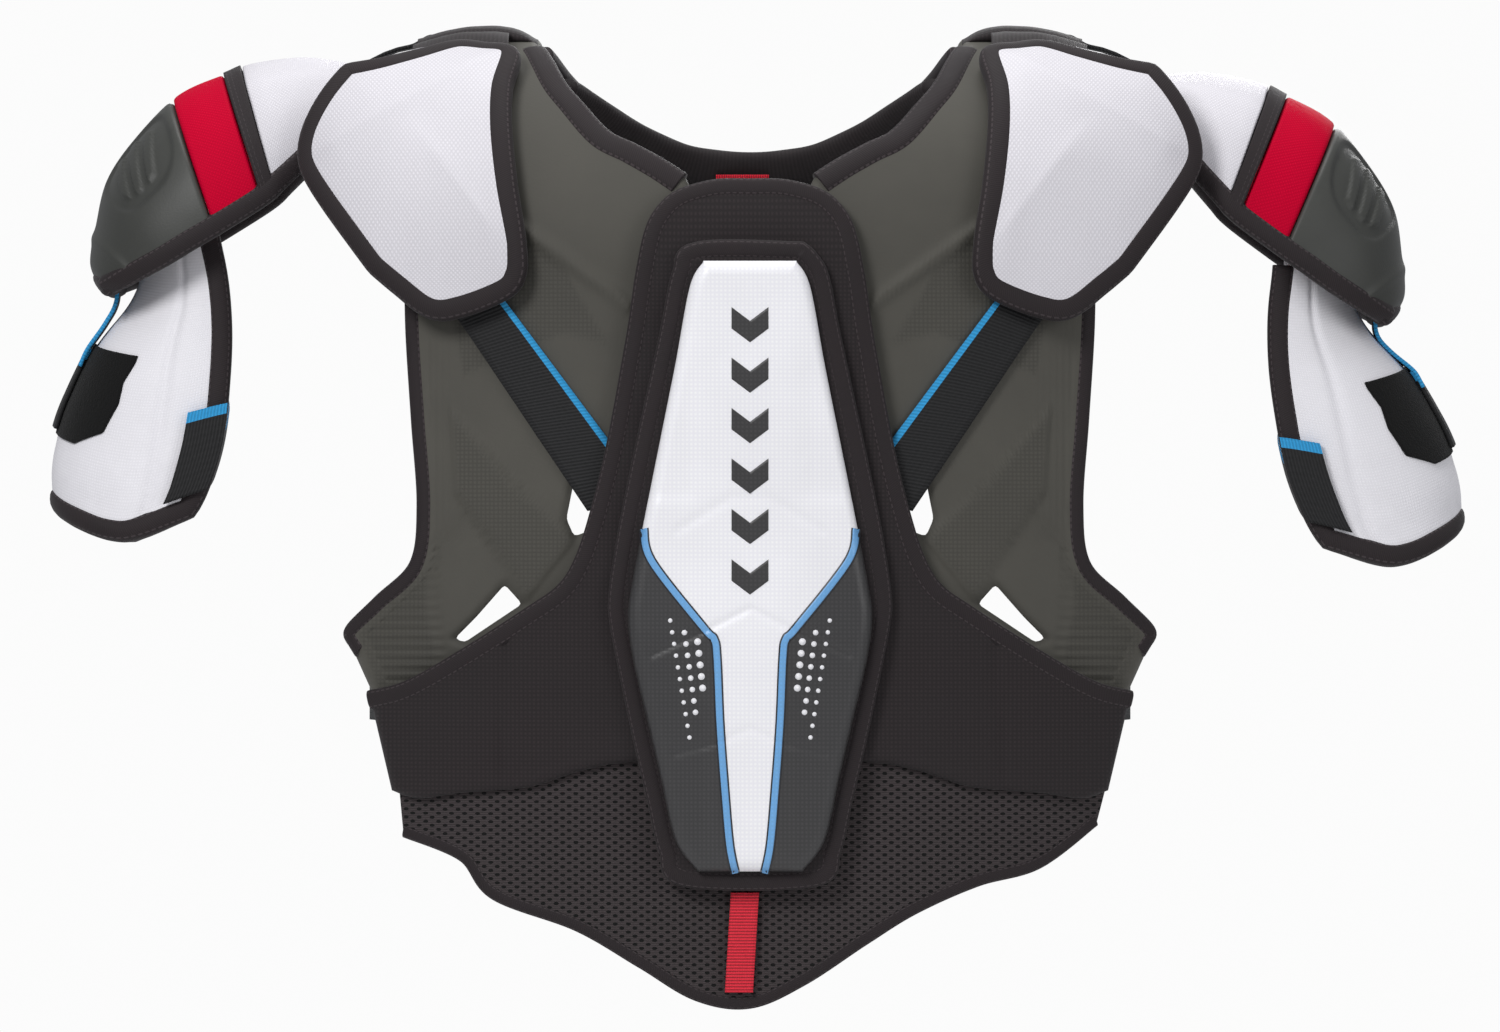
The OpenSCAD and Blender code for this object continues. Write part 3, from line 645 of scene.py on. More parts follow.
def strip(name, outer, inner, mat, body, replaces=()):
    """Webbing: two grids of points. Its UVs run along it in metres and across it from 0 to 1."""
    verts, faces = closed_grid(outer, inner)
    rows = len(outer)
    run = run_of(outer[rows // 2]) * MM
    uv = np.stack(np.broadcast_arrays(run[None], np.linspace(1, 0, rows)[:, None]), -1).reshape(-1, 2)
    return piece(name, verts, faces, np.concatenate([uv, uv]), mat, body, replaces)


def taped(node, path, half_w, half_t, body, mat="binding", closed=False):
    """An edge tape that stands for the node of the same name."""
    return tube(f"{node}_tape", path, half_w, half_t, MAT[mat], body, [node], closed)


def belt(node, outer, inner, body, mat="elastic_blue"):
    """Elastic webbing that stands for the node of the same name."""
    return strip(f"{node}_webbing", outer, inner, MAT[mat], body, [node])


def ruled(a, b, us, vs):
    """Points on the surface ruled between two curves."""
    return mix(along(a, us)[None], along(b, us)[None], vs[:, None, None])


def turned(points, s, guard=False):
    """Points of an arm piece in its rest pose: the wearer's left arm hangs a little differently."""
    p = np.array(points, float)
    if s == LEFT:
        if guard:
            p = spin(p, GUARD_PIVOT, -LEFT_SPLAY)
        p = spin(p, DROOP_PIVOT, LEFT_DROOP)
    return p


def spin(p, pivot, degrees):
    a = math.radians(degrees)
    r = p - np.array(pivot, float)
    x = r[..., 0] * math.cos(a) + r[..., 2] * math.sin(a)
    z = -r[..., 0] * math.sin(a) + r[..., 2] * math.cos(a)
    return np.stack([x, r[..., 1], z], -1) + np.array(pivot, float)


# ---- chest ---------------------------------------------------------------------------------

CHEST_INNER = [[109, 59.98], [108, 52], [89, 26], [75, 10], [60, 2], [46, -6],
               [32, -16], [30, -50], [34, -110], [44, -180], [52, -240], [58, -290]]
CHEST_OUTER = [[168, 59.98], [168, 45], [172, 20], [175, -20], [179, -80], [176, -130],
               [173, -175], [175, -212], [193, -232], [211, -251], [205, -264], [193, -290]]
NECK_EDGE = [[108.5, 56], [99, 39], [89, 26], [75, 10], [60, 2], [46, -6], [34, -14]]
ARMHOLE_EDGE = [[168, 56], [170, 34], [173, 5], [178, -50], [178.5, -90], [175.5, -140], [172.5, -185],
                [176, -214], [194, -232], [209, -247], [209.5, -255], [205, -263]]
WINDOWS = [arr([[127, -226], [118, -236], [148, -256], [153, -254], [142, -243]]),
           arr([[91, -172], [95, -192], [91, -201], [80, -197], [80, -176]])]
RIDGE_LINE = [[118, -42], [63, -81]]
GRID = arr([[156, -133], [123, -172], [90, -202], [116, -235], [128, -215], [153, -178]])


def chest_depth(s):
    def depth(x, z, d):
        ax = x * s
        t = PLATE_T * (0.35 + 0.65 * crown(d, 5))
        t = t + 3.0 * bell(line_distance(RIDGE_LINE, ax, z), 3.0)
        below = z < -81 + (ax - 63) * 0.7
        ribbed = below & (z > -205) & (d > 9) & ~inside(GRID, ax, z)
        t = t - np.where(ribbed, 0.35 * (0.5 + 0.5 * np.cos(2 * np.pi * ax / 3.4)), 0)
        g = np.where(inside(GRID, ax, z), rim_distance(GRID, ax, z), 0)
        t = t + np.where(g > 0, 1.5 * crown(g, 2.5), 0)
        wing = (ax > np.interp(z, [-262, -222, -170, -60], [158, 162, 158, 163])) & (z < -205) & (d > 10)
        t = t - np.where(wing, 0.9 * (0.5 + 0.5 * np.cos(2 * np.pi * z / 5.2)), 0)
        for window in WINDOWS:
            t = t - 1.8 * bell(rim_distance(window, ax, z), 2.0)
        return t

    return depth


def band_mask(obj, s):
    """Marks where the plate carries the fine moulded grid."""
    p = np.zeros(len(obj.data.vertices) * 3)
    obj.data.vertices.foreach_get("co", p)
    p = p.reshape(-1, 3) / MM
    ax, z = s * p[:, 0], p[:, 2]
    top = arr([[168, 20], [160, -60], [150, -120], [96, -98], [70, -104], [96, -60], [120, -38], [128, 30]])
    wing = arr([[166, -214], [196, -236], [206, -252], [192, -288], [160, -272], [166, -240]])
    mask = np.zeros(len(ax))
    for outline in (GRID, wing, top):
        d = rim_distance(outline, ax, z)
        mask = np.maximum(mask, np.where(inside(outline, ax, z), np.clip((d - 1.0) / 2.0, 0, 1), 0))
    at = obj.data.attributes.new("band", "FLOAT", "POINT")
    at.data.foreach_set("value", mask.astype(np.float32))


# Painted shade: where the plate colour darkens round the window openings.
def chest_groove(s):
    def groove_shade(x, z, d):
        near = [rim_distance(window, x * s, z) for window in WINDOWS]
        return bell(np.minimum(*near), 1.6)

    return groove_shade


BELLY_HALF = [[198, -282], [179, -277], [152, -262], [116, -239], [99, -227], [90, -213], [82, -189],
              [73, -152], [63, -97], [56, -53], [44, -29], [22, -20], [0, -19]]
BELLY_FOOT = [[186, -333], [172, -337], [150, -334], [116, -331], [99, -326], [90, -323], [82, -321],
              [73, -319], [63, -318], [55, -317], [42, -316], [20, -316], [0, -316]]


def belly_depth(x, z, d):
    t = BELLY_T * (0.3 + 0.7 * crown(d, 5))
    seam = np.interp(z, [-340, -259], [131, 127])
    t = t - 1.8 * bell(np.abs(x) - seam, 1.8)
    soft = 0.55 * np.sin(x / 17 + z / 23) * np.sin(z / 13 - x / 31) * ease((d - 6) / 12)
    return t + soft


APRON_TOP = [[-184, -312], [-158, -310], [-124, -308], [-90, -306], [-60, -305], [-30, -304], [0, -304],
             [30, -304], [60, -305], [90, -306], [124, -308], [158, -310], [190, -312]]
APRON_HEM = [[-180, -356], [-150, -368], [-133, -388], [-90, -404], [-57, -423], [-28, -440], [0, -444],
             [28, -432], [60, -411], [86, -395], [118, -381], [150, -372], [180, -350]]
STERNUM_PAD = [[29, -52.5], [38, -64], [44.5, -95], [52.5, -132], [60, -167], [66.5, -200], [71, -230],
               [70.5, -246], [64.5, -277], [58, -308], [51, -338], [45, -364], [35, -379]]
STERNUM_PLATE = [[24, -59], [31, -72], [38.5, -112], [46.5, -152], [54.5, -192], [61, -226], [63, -243],
                 [60.5, -264], [53.5, -294], [46, -326], [38.5, -358], [27, -374]]


def mirror(pts):
    return [[-x, z] for x, z in pts]


def fine(pts, n=90):
    return along(arr(pts), np.linspace(0, 1, n))


PLATE_OUTLINE = np.concatenate([fine(mirror(STERNUM_PLATE)), fine(STERNUM_PLATE)[::-1]])


def plate_depth(x, z, d):
    """The moulded plate: bevelled rim, a flat crest and creases that run down from the shoulders."""
    ax = np.abs(x)
    t = STERNUM_T * (0.25 + 0.75 * crown(d, 7))
    upper = line_distance([[38, -198], [10, -181], [0, -181]], ax, z)
    middle = line_distance([[51, -262], [22, -249], [0, -238]], ax, z)
    lower = line_distance([[39, -313], [16, -307], [0, -300]], ax, z)
    for crease, deep in ((upper, 0.9), (middle, 1.1), (lower, 0.8)):
        t = t - deep * bell(crease, 1.5) * ease(d / 6)
    t = t + 1.2 * ease((26 - ax) / 10) * ease(d / 12) * ease((z + 240) / -30)
    t = t - 1.0 * ease((ax - 22) / 12) * ease((z + 186) / 8)
    return t


def lining_depth(x, z, d):
    return 3 * (0.4 + 0.6 * crown(d, 4))


def build_chest():
    for s, side in SIDES:
        o = panel(f"chest_plate_{side}_foam", FRONT, sided(s, CHEST_INNER), sided(s, CHEST_OUTER), 230, 100,
                  PLATE_AT, chest_depth(s), MAT["foam"], "front", [f"chest_plate_{side}"],
                  groove_shade=chest_groove(s), crowd=0.4)
        band_mask(o, s)
        cut_through(o, WINDOWS, s)
        taped(f"neck_binding_{side}", edge_path(FRONT, sided(s, inset(NECK_EDGE, 5)), PLATE_MIDDLE, 90),
              7.5, PLATE_TAPE, "front")
        taped(f"armhole_binding_{side}", edge_path(FRONT, sided(s, inset(ARMHOLE_EDGE, -5)), PLATE_MIDDLE, 170),
              5, PLATE_TAPE, "front")
        upper = wrapped(FRONT, sided(s, [[143, -58], [127.7, -78], [76.4, -146.6], [52, -180]]))
        lower = wrapped(FRONT, sided(s, [[166, -72], [151.8, -88], [109, -151], [84, -188]]))
        spots = ruled(upper, lower, np.linspace(0, 1, 40), np.linspace(0, 1, 9))
        x, q = spots[..., 0], spots[..., 1]
        belt(f"cross_strap_{side}", on(FRONT, x, q, 14.8), on(FRONT, x, q, 12.8), "front")
    liner = panel("chest_lining", FRONT, whole([[158, 38], [114, 44], [92, 16], [62, -10], [34, -26], [0, -30]]),
                  whole([[168, -158], [138, -162], [98, -162], [74, -196], [60, -290], [0, -302]]), 90, 60, 0,
                  lining_depth, MAT["liner"], "front", ["chest_liner"])
    belly = panel("belly_panel_cover", FRONT, whole(BELLY_HALF), whole(BELLY_FOOT), 220, 110, BELLY_AT, belly_depth,
                  MAT["dark"], "front", ["belly_panel"], crowd=0.3)
    taped("belly_binding", edge_path(FRONT, inset(whole(BELLY_HALF), -4), BELLY_AT + BELLY_T / 2, 320),
          5, BELLY_T / 2 + 0.8, "front", "binding_belly")
    apron = panel("apron_spacer_mesh", FRONT, APRON_TOP, APRON_HEM, 150, 60, APRON_AT,
                  lambda x, z, d: np.full(x.shape, APRON_T), MAT["mesh"], "front", ["mesh_apron"],
                  under=0.0)
    taped("apron_binding", edge_path(FRONT, inset(APRON_HEM, 2), APRON_AT + APRON_T / 2, 220),
          3.5, APRON_T / 2 + 0.7, "front", "binding_belly")
    spots = ruled([[-9.9, -385], [-13, -437]], [[4.7, -385], [1.6, -437]], np.linspace(0, 1, 24),
                  np.linspace(0, 1, 9))
    strip("tail_tape_grosgrain", on(FRONT, spots[..., 0], spots[..., 1], 18.7),
          on(FRONT, spots[..., 0], spots[..., 1], 17.2), MAT["red_tape"], "front", ["tail_tape"])
    pad = panel("sternum_pad_cover", FRONT, mirror(STERNUM_PAD), STERNUM_PAD, 160, 70, STERNUM_AT,
                lambda x, z, d: STERNUM_PAD_T * (0.4 + 0.6 * crown(d, 5)), MAT["dark"], "front", ["sternum_pad"])
    ring = inset(STERNUM_PAD, -3)
    ring = [list(p) for p in ring] + mirror([list(p) for p in ring])[::-1]
    taped("sternum_binding", edge_path(FRONT, ring, STERNUM_AT + STERNUM_PAD_T / 2, 300, True),
          5, STERNUM_PAD_T / 2 + 0.6, "front", "binding_belly", True)
    plate = panel("sternum_plate_moulding", FRONT, mirror(STERNUM_PLATE), STERNUM_PLATE, 240, 110,
                  STERNUM_PLATE_AT, plate_depth, MAT["plate_white"], "front", ["sternum_plate"],
                  crowd=0.5)
    plate.data.materials.append(MAT["plate_dark"])
    p = np.zeros(len(plate.data.polygons) * 3)
    plate.data.polygons.foreach_get("center", p)
    p = p.reshape(-1, 3) / MM
    line = fine(BLUE_LINE, 160)
    ax, z = np.abs(p[:, 0]), p[:, 2]
    limit = np.interp(-z, -line[:, 1], line[:, 0])
    dark = (z < BLUE_LINE[0][1]) & (ax > limit)
    plate.data.polygons.foreach_set("material_index", dark.astype(np.int32))
    build_print()


def film(name, spots_x, spots_z, lift, mat):
    """A thin printed patch that follows the sternum plate's face."""
    q = q_of(FRONT, spots_z)
    d = np.where(inside(PLATE_OUTLINE, spots_x, spots_z), rim_distance(PLATE_OUTLINE, spots_x, spots_z), 0)
    face = STERNUM_PLATE_AT + plate_depth(spots_x, spots_z, d)
    outer, inner = on(FRONT, spots_x, q, face + lift), on(FRONT, spots_x, q, face - 0.3)
    verts, faces = closed_grid(outer, inner)
    uv = np.stack([spots_x, spots_z], -1).reshape(-1, 2) * MM
    piece(name, verts, faces, np.concatenate([uv, uv]), mat, "front", ())


BLUE_LINE = [[54.8, -197], [50.5, -214], [24, -248], [18.5, -254], [17, -264], [15.5, -298], [13, -332],
             [10.5, -360], [7.5, -375]]


def build_print():
    us = np.linspace(0, 1, 120)
    for s, side in SIDES:
        line = along(arr(BLUE_LINE), us)
        tangent = unit(np.gradient(line, axis=0))
        across = np.stack([-tangent[:, 1], tangent[:, 0]], 1)
        for label, wide, lift, mat in (("outline", 2.5, 0.2, "plate_line"), ("stripe", 1.7, 0.32, "plate_blue")):
            ws = np.linspace(-wide, wide, 5)
            band = line[None] + ws[:, None, None] * across[None]
            film(f"sternum_{label}_{side}", s * band[..., 0], band[..., 1], lift, MAT[mat])
        build_dots(s, side)
    build_chevrons()


def build_dots(s, side):
    """Rows of printed dots on the dark fields, larger towards the middle."""
    verts, faces = [], []
    ring = np.linspace(0, 2 * np.pi, 14, endpoint=False)
    for count, first, last, size in ((11, (-41.1, -244.4), (-31.2, -304.7), 2.3),
                                     (8, (-33.8, -250.6), (-28.1, -291.7), 2.9),
                                     (5, (-27.0, -255.3), (-24.4, -279.2), 3.6)):
        for k in range(count):
            cx, cz = mix(arr(first), arr(last), k / (count - 1))
            x, z = s * (cx + size / 2 * np.cos(ring)), cz + size / 2 * np.sin(ring)
            d = rim_distance(PLATE_OUTLINE, x, z)
            face = STERNUM_PLATE_AT + plate_depth(x, z, d)
            top, low = on(FRONT, x, z, face + 0.2), on(FRONT, x, z, face - 0.3)
            start = len(verts)
            verts += list(top) + list(low)
            n = len(ring)
            faces.append([start + i for i in range(n)])
            faces.append([start + n + i for i in range(n - 1, -1, -1)])
            faces += [[start + i, start + (i + 1) % n, start + n + (i + 1) % n, start + n + i] for i in range(n)]
    verts = np.array(verts)
    piece(f"sternum_dots_{side}", verts, faces, verts[:, [0, 2]] * MM, MAT["plate_white"], "front", ())


def build_chevrons():
    """A plain column of dark chevrons down the middle of the plate."""
    for k in range(6):
        middle = -80 - 26 * k
        x, down = np.meshgrid(np.linspace(-9.5, 9.5, 41), np.linspace(0, 1, 9))
        z = middle - 10 + 0.75 * np.abs(x) - 11.0 * down
        film(f"sternum_chevron_{k + 1}", x, z, 0.2, MAT["plate_dark"])


build_chest()

# ---- back ----------------------------------------------------------------------------------

BACK_NECK = [[108.5, 55], [99, 43], [87, 31], [70, 19], [54, 10], [40, 2], [22, -1], [0, -2]]
BACK_INNER = [[109, 59.98], [106, 53], [90, 35], [70, 20], [53, 9], [46, -8],
              [44, -60], [44, -130], [46, -190], [50, -248]]
BACK_OUTER = [[168, 59.98], [168, 40], [170, 10], [170, -30], [164, -70], [146, -106],
              [116, -138], [88, -166], [80, -205], [78, -252]]
BACK_ARMHOLE = [[168, 56], *BACK_OUTER[1:-1], [78, -240]]
SPINE = [[30, -10], [37, -20], [39, -60], [39, -120], [38, -180], [34, -240], [26, -258]]
BACK_FIELD = arr([[78, -30], [150, -30], [146, -66], [120, -104], [84, -140], [66, -110]])
SPINE_JOINTS = (-62, -112, -162, -212)
WAIST_SIDE = 186
CAP_STRAP_ROUND = 116


def back_depth(s):
    def depth(x, z, d):
        ax = x * s
        t = PLATE_T * (0.35 + 0.65 * crown(d, 5))
        g = rim_distance(BACK_FIELD, ax, z)
        inner = inside(BACK_FIELD, ax, z)
        t = t - 1.8 * bell(g, 2.2)
        ribs = inner & (g > 6)
        return t - np.where(ribs, 0.8 * (0.5 + 0.5 * np.cos(2 * np.pi * (z + 0.25 * ax) / 9)), 0)

    return depth


# Painted shade: where the plate colour darkens round the moulded back field.
def back_groove(s):
    return lambda x, z, d: bell(rim_distance(BACK_FIELD, x * s, z), 1.8)


def spine_depth(x, z, d):
    t = (PLATE_T + 6) * (0.2 + 0.8 * crown(d, 9))
    for at in SPINE_JOINTS:
        t = t - 4.0 * bell(z - at - 0.16 * np.abs(x), 3.2) * ease(d / 4)
    return t


# Painted shade: where the spine guard colour darkens in its joints.
def spine_groove(x, z, d):
    g = np.zeros_like(x)
    for at in SPINE_JOINTS:
        g = g + bell(z - at - 0.16 * np.abs(x), 2.6)
    return np.clip(g, 0, 1)


def waist_depth(x, z, d):
    t = 5 * (0.35 + 0.65 * crown(d, 5))
    for at in (50, 118):
        t = t - 1.6 * bell(np.abs(x) - at, 1.7)
    return t + 0.5 * np.sin(x / 15) * np.sin(z / 11) * ease((d - 6) / 10)


def build_back():
    for s, side in SIDES:
        o = panel(f"back_plate_{side}_foam", BACK, sided(s, BACK_INNER), sided(s, BACK_OUTER), 170, 80, PLATE_AT,
                  back_depth(s), MAT["foam"], "back", [f"back_plate_{side}"], groove_shade=back_groove(s))
        taped(f"back_edge_binding_{side}", edge_path(BACK, sided(s, inset(BACK_ARMHOLE, -3)), PLATE_MIDDLE, 130),
              5, PLATE_TAPE, "back")
        xs = np.linspace(165, 208.5, 60)
        x, y = np.meshgrid(xs, np.linspace(4, 32, 9))
        z = np.interp(x, [178, 185, 192, 199, 204, 208.5], [56, 54.5, 52, 48.5, 45.6, 43.4])
        lean = TURN_Z + TURN_LENGTH * (1 - np.degrees(np.arcsin(y / CAP_STRAP_ROUND)) / 90)
        flat = np.stack([s * x, y, z], -1)
        path = mix(on(BACK, s * x, lean, 13.2), flat, ease((x - 167) / 12)[..., None])
        belt(f"cap_strap_{side}", path + np.array([0, 0, 1]), path - np.array([0, 0, 1]),
             ("back", f"arm_cap_{side}", (s * 0.180, 0, 0.05), (s * 0.204, 0, 0.05)), "elastic")
    spine = panel("spine_guard_foam", BACK, mirror(SPINE), SPINE, 200, 70, PLATE_AT, spine_depth, MAT["foam_dark"],
                  "back", ["spine_guard"], groove_shade=spine_groove)
    liner = panel("back_lining", BACK, whole([[130, 40], [114, 46], [90, 26], [56, 4], [26, -6], [0, -8]]),
                  whole([[50, -290], [42, -292], [32, -294], [22, -295], [11, -296], [0, -296]]), 90, 70, 0,
                  lining_depth, MAT["liner"], "back", ["back_liner"])
    top = whole([[WAIST_SIDE, -262], [120, -264], [60, -266], [0, -266]])
    foot = whole([[WAIST_SIDE - 7, -350], [120, -366], [60, -370], [0, -372]])
    waist = panel("lower_back_cover", BACK, top, foot, 150, 50, PLATE_AT, waist_depth, MAT["dark"], "back",
                  ["lower_back_panel"])
    hem = whole([[WAIST_SIDE - 8, -348], [120, -364], [60, -368], [0, -370]])
    taped("lower_back_binding", edge_path(BACK, hem, PLATE_AT + 2.5, 160), 4, 3.6, "back", "binding_belly")
    roll = whole([[100, 55], [90, 47], [75, 34], [58, 21.5], [38, 10.5], [18, 5.6], [0, 4.3]])
    o = tube("collar_roll_cover", edge_path(BACK, roll, -11, 260), 11, 6.4, MAT["dark"], "back", ["collar_roll"],
             sides=28, square=0.9, lumps=0.06)
    taped("back_neck_binding", edge_path(BACK, whole(BACK_NECK), PLATE_MIDDLE, 200), 5, PLATE_TAPE, "back")
    us, vs = np.linspace(-18, 10, 24), np.linspace(7.3, -5.6, 8)
    x, z = np.meshgrid(us, vs)
    q = q_of(BACK, z)
    strip("neck_label_woven", on(BACK, x, q, -19.8), on(BACK, x, q, -18.8), MAT["label"], "back", ["neck_label"])


# ---- shoulder flaps ------------------------------------------------------------------------

FLAP_OUTER = [[212, 45.8], [221, 34.5], [228, 22.5], [232.5, 11], [234, -1], [231, -12.5], [221, -29],
    [204, -53], [184, -74], [167, -86.5]]
FLAP_INNER = [[152, 60.6], [138, 59.2], [121.5, 54], [124.5, 33], [124.5, 12], [121.5, -18], [117, -48],
    [117, -66], [125, -77], [147, -86]]
FLAP_TOP_TAPE = [[170.8, 50.8], [190.8, 45.8]]
FLAP_T = 8.0


def flap_depth(s):
    def depth(x, z, d):
        ax = x * s
        t = FLAP_T * (0.35 + 0.65 * crown(d, 7))
        first = (z - 30) * 0.87 + (ax - 170) * 0.5
        second = (z - 15) * 0.62 - (ax - 177) * 0.78
        facet = (2.4 * np.exp(-np.abs(first) / 13) + 2.6 * np.exp(-np.abs(second) / 14) * ease((20 - z) / 30))
        return t + facet * ease((d - 3) / 16)

    return depth


def build_flaps():
    for s, side in SIDES:
        o = panel(f"flap_{side}_cover", FLAP, sided(s, FLAP_OUTER), sided(s, FLAP_INNER), 150, 110, 0,
                  flap_depth(s), MAT["white"], f"flap_{side}", [f"flap_{side}"])
        ring = ([list(p) for p in inset(FLAP_OUTER, -5)]
                + [list(p) for p in inset(FLAP_INNER, 5)][::-1] + FLAP_TOP_TAPE)
        taped(f"flap_binding_{side}", edge_path(FLAP, sided(s, ring), FLAP_T / 2, 240, True),
              6.5, FLAP_T / 2 + 1, f"flap_{side}", closed=True)


# ---- arm caps ------------------------------------------------------------------------------

CREST = arr([[205, 46], [232, 50], [260, 47], [276, 41], [300, 30], [322, 8], [337, -14], [343, -38],
             [346, -58], [341, -70]])
HEM = arr([[222, 6], [232, -5], [244, -17], [254, -26], [276, -40], [292, -49], [305, -56.5], [318, -63],
    [329, -68.5], [337, -72]])
CAP_HALF_DEPTH = arr([50, 56, 62, 64, 66, 65, 62, 56, 48, 38])
CAP_WALL = 8.5
CAP_SEAM = 0.012
DIVIDER_FROM, BAND_FROM, CUP_FROM, CUP_TO = 2.4, 3, 4.15, 9
BADGE_AT, BADGE_TURN = 5.3, -31
CAP_MIDDLE = np.array([275, 0, -60.0])


def cap_outside(u, angle):
    u, angle = np.broadcast_arrays(arr(u), arr(angle))
    top, low = along(CREST, u / 9), along(HEM, u / 9)
    across = mix(top, low, (1 - np.cos(np.radians(angle)))[..., None])
    y = along(CAP_HALF_DEPTH, u / 9) * np.sin(np.radians(angle))
    return np.stack([across[..., 0], y, across[..., 1]], -1)


def cap_out_normal(u, angle):
    u = np.clip(u, 0.3, 8.7)
    n = unit(np.cross(cap_outside(u + 0.05, angle) - cap_outside(u - 0.05, angle),
                      cap_outside(u, angle + 1) - cap_outside(u, angle - 1)))
    away = cap_outside(u, angle) - CAP_MIDDLE
    return n * np.sign((n * away).sum(-1, keepdims=True))


def cap_point(s, u, angle, out):
    u, angle, out = np.broadcast_arrays(arr(u), arr(angle), arr(out))
    p = cap_outside(u, angle) + out[..., None] * cap_out_normal(u, angle)
    p = p * np.array([s, 1, 1])
    return turned(p, s)


def shell(name, point, us, angles, top, wall, mat, body, replaces, crease=None):
    """A curved shell from point(u, angle, out): top is the outer height field, wall its thickness."""
    u, a = np.meshgrid(us, angles, indexing="ij")
    outer = point(u, a, top(u, a))
    inner = point(u, a, -wall + 0 * u)
    verts, faces = closed_grid(outer, inner)
    run = run_of(outer[:, len(angles) // 2])
    arc = run_of(outer[len(us) // 2])
    uv = np.stack(np.broadcast_arrays(run[:, None] * MM, arc[None] * MM), -1).reshape(-1, 2)
    edge = np.minimum.reduce([u - us[0], us[-1] - u]) * 18
    edge = np.minimum(edge, np.minimum(a - angles[0], angles[-1] - a))
    rims = np.clip(edge / 30, 0, 1).ravel()
    g = None if crease is None else np.concatenate([crease(u, a).ravel(), np.zeros(u.size)])
    return piece(name, verts, faces, np.concatenate([uv, uv]), mat, body, replaces,
                 np.concatenate([rims, rims]), g)


def rim_path(point, s, stops, wall):
    """Places and outward directions along the middle of a shell's rim."""
    p = point(s, stops[:, 0], stops[:, 1], -wall / 2)
    return p, unit(point(s, stops[:, 0], stops[:, 1], 1.0) - p)


def seam_dip(u, low, high, r=0.11, deep=2.2):
    """The rounded edges where two cap pieces meet."""
    return -deep * (1 - crown(np.minimum(u - low, high - u), r))


def recess(u, a):
    """Rounded-box distance from the middle of the cup's badge: 0 in the middle, 1 at its edge."""
    return (np.abs((u - BADGE_AT) / 0.95) ** 3 + np.abs((a - BADGE_TURN) / 27) ** 3) ** (1 / 3)


def build_caps():
    angles = np.linspace(-88, 88, 121)
    for s, side in SIDES:
        body = f"arm_cap_{side}"

        def point(u, a, out, s=s):
            return cap_point(s, u, a, out)

        o = shell(f"cap_dome_{side}_cover", point, np.linspace(0, DIVIDER_FROM - CAP_SEAM, 66), angles,
                  lambda u, a: seam_dip(u, -0.1, DIVIDER_FROM - CAP_SEAM) + 1.0 * bell(a + 34, 9) * ease(u / 0.5),
                  CAP_WALL, MAT["white"], body, [f"cap_dome_{side}"])
        u, a = np.meshgrid(np.linspace(DIVIDER_FROM + CAP_SEAM, BAND_FROM - CAP_SEAM, 13), angles, indexing="ij")
        strip(f"cap_divider_{side}_tape", cap_point(s, u, a, 1.0), cap_point(s, u, a, -CAP_WALL),
              MAT["binding"], body, [f"cap_divider_{side}"])
        low, high = BAND_FROM + CAP_SEAM, CUP_FROM - CAP_SEAM
        o = shell(f"cap_band_{side}_cover", point, np.linspace(low, high, 40), angles,
                  lambda u, a: seam_dip(u, low, high), CAP_WALL, MAT["red"], body, [f"cap_band_{side}"])

        def cup_top(u, a):
            r = recess(u, a)
            dip = -1.8 * (1 - ease((r - 0.92) / 0.12))
            lean = (u - BADGE_AT) + (a - BADGE_TURN) / 90
            bars = sum(ease((0.13 - np.abs(lean - at)) / 0.03) for at in (-0.42, 0.0, 0.42))
            dip = dip + 1.5 * bars * ease((0.74 - r) / 0.06)
            rib = 0.9 * bell(u - 7.3, 0.16)
            return seam_dip(u, CUP_FROM + CAP_SEAM, 9.2) + dip + rib

        # The crease mask paints shade into the cup colour round the badge recess.
        o = shell(f"cap_cup_{side}_moulding", point, np.linspace(CUP_FROM + CAP_SEAM, CUP_TO, 120), angles,
                  cup_top, CAP_WALL, MAT["cup"], body, [f"cap_cup_{side}"],
                  crease=lambda u, a: bell(recess(u, a) - 0.98, 0.05))
        stops = np.concatenate([
            np.stack([np.linspace(0, 8.8, 120), np.full(120, -88.0)], 1),
            np.stack([np.full(46, 8.8), np.linspace(-84, 84, 46)], 1),
            np.stack([np.linspace(8.8, 0, 120), np.full(120, 88.0)], 1)])
        taped(f"cap_binding_{side}", rim_path(cap_point, s, stops, CAP_WALL), 6, CAP_WALL / 2 + 1.5, body)


# ---- biceps guards -------------------------------------------------------------------------

GUARD_WALL = 8.5
GUARD_TOP, GUARD_SWEEP = -38, 158
STRAP_FROM, STRAP_TO, STRAP_FALL = 121, 305, 34


def guard_inner(z):
    return np.interp(-z, [38, 48, 66, 88, 106, 135, 157, 182, 200], [284, 282, 278, 276, 276, 278, 281.5, 290, 303])


def guard_reach(z):
    return np.interp(-z, [38, 60, 74, 85, 100, 118, 140, 165, 185, 205],
                     [32, 38.7, 43.7, 51.8, 66, 74.2, 82.2, 82.7, 73.8, 59])


def guard_half_depth(z):
    return np.interp(-z, [40, 74, 120, 205], [42, 46, 54, 58])


def guard_foot(angle):
    a = np.where(angle > 90, 180 - angle, angle)
    return np.interp(a, [-10, 5, 18, 32, 50, 70, 90], [-181, -189, -198, -198, -192, -186, -180])


def smoothed(f):
    """The corners of a piecewise line rounded off."""
    return lambda v: sum(f(v + k) for k in (-9, -6, -3, 0, 3, 6, 9)) / 7


inner_s, reach_s, depth_s = smoothed(guard_inner), smoothed(guard_reach), smoothed(guard_half_depth)
foot_s = smoothed(guard_foot)


def guard_outside(h, angle):
    h, angle = np.broadcast_arrays(arr(h), arr(angle))
    z = mix(GUARD_TOP, foot_s(angle), h)
    a = np.radians(angle)
    return np.stack([inner_s(z) + reach_s(z) * np.sin(a), -depth_s(z) * np.cos(a), z], -1)


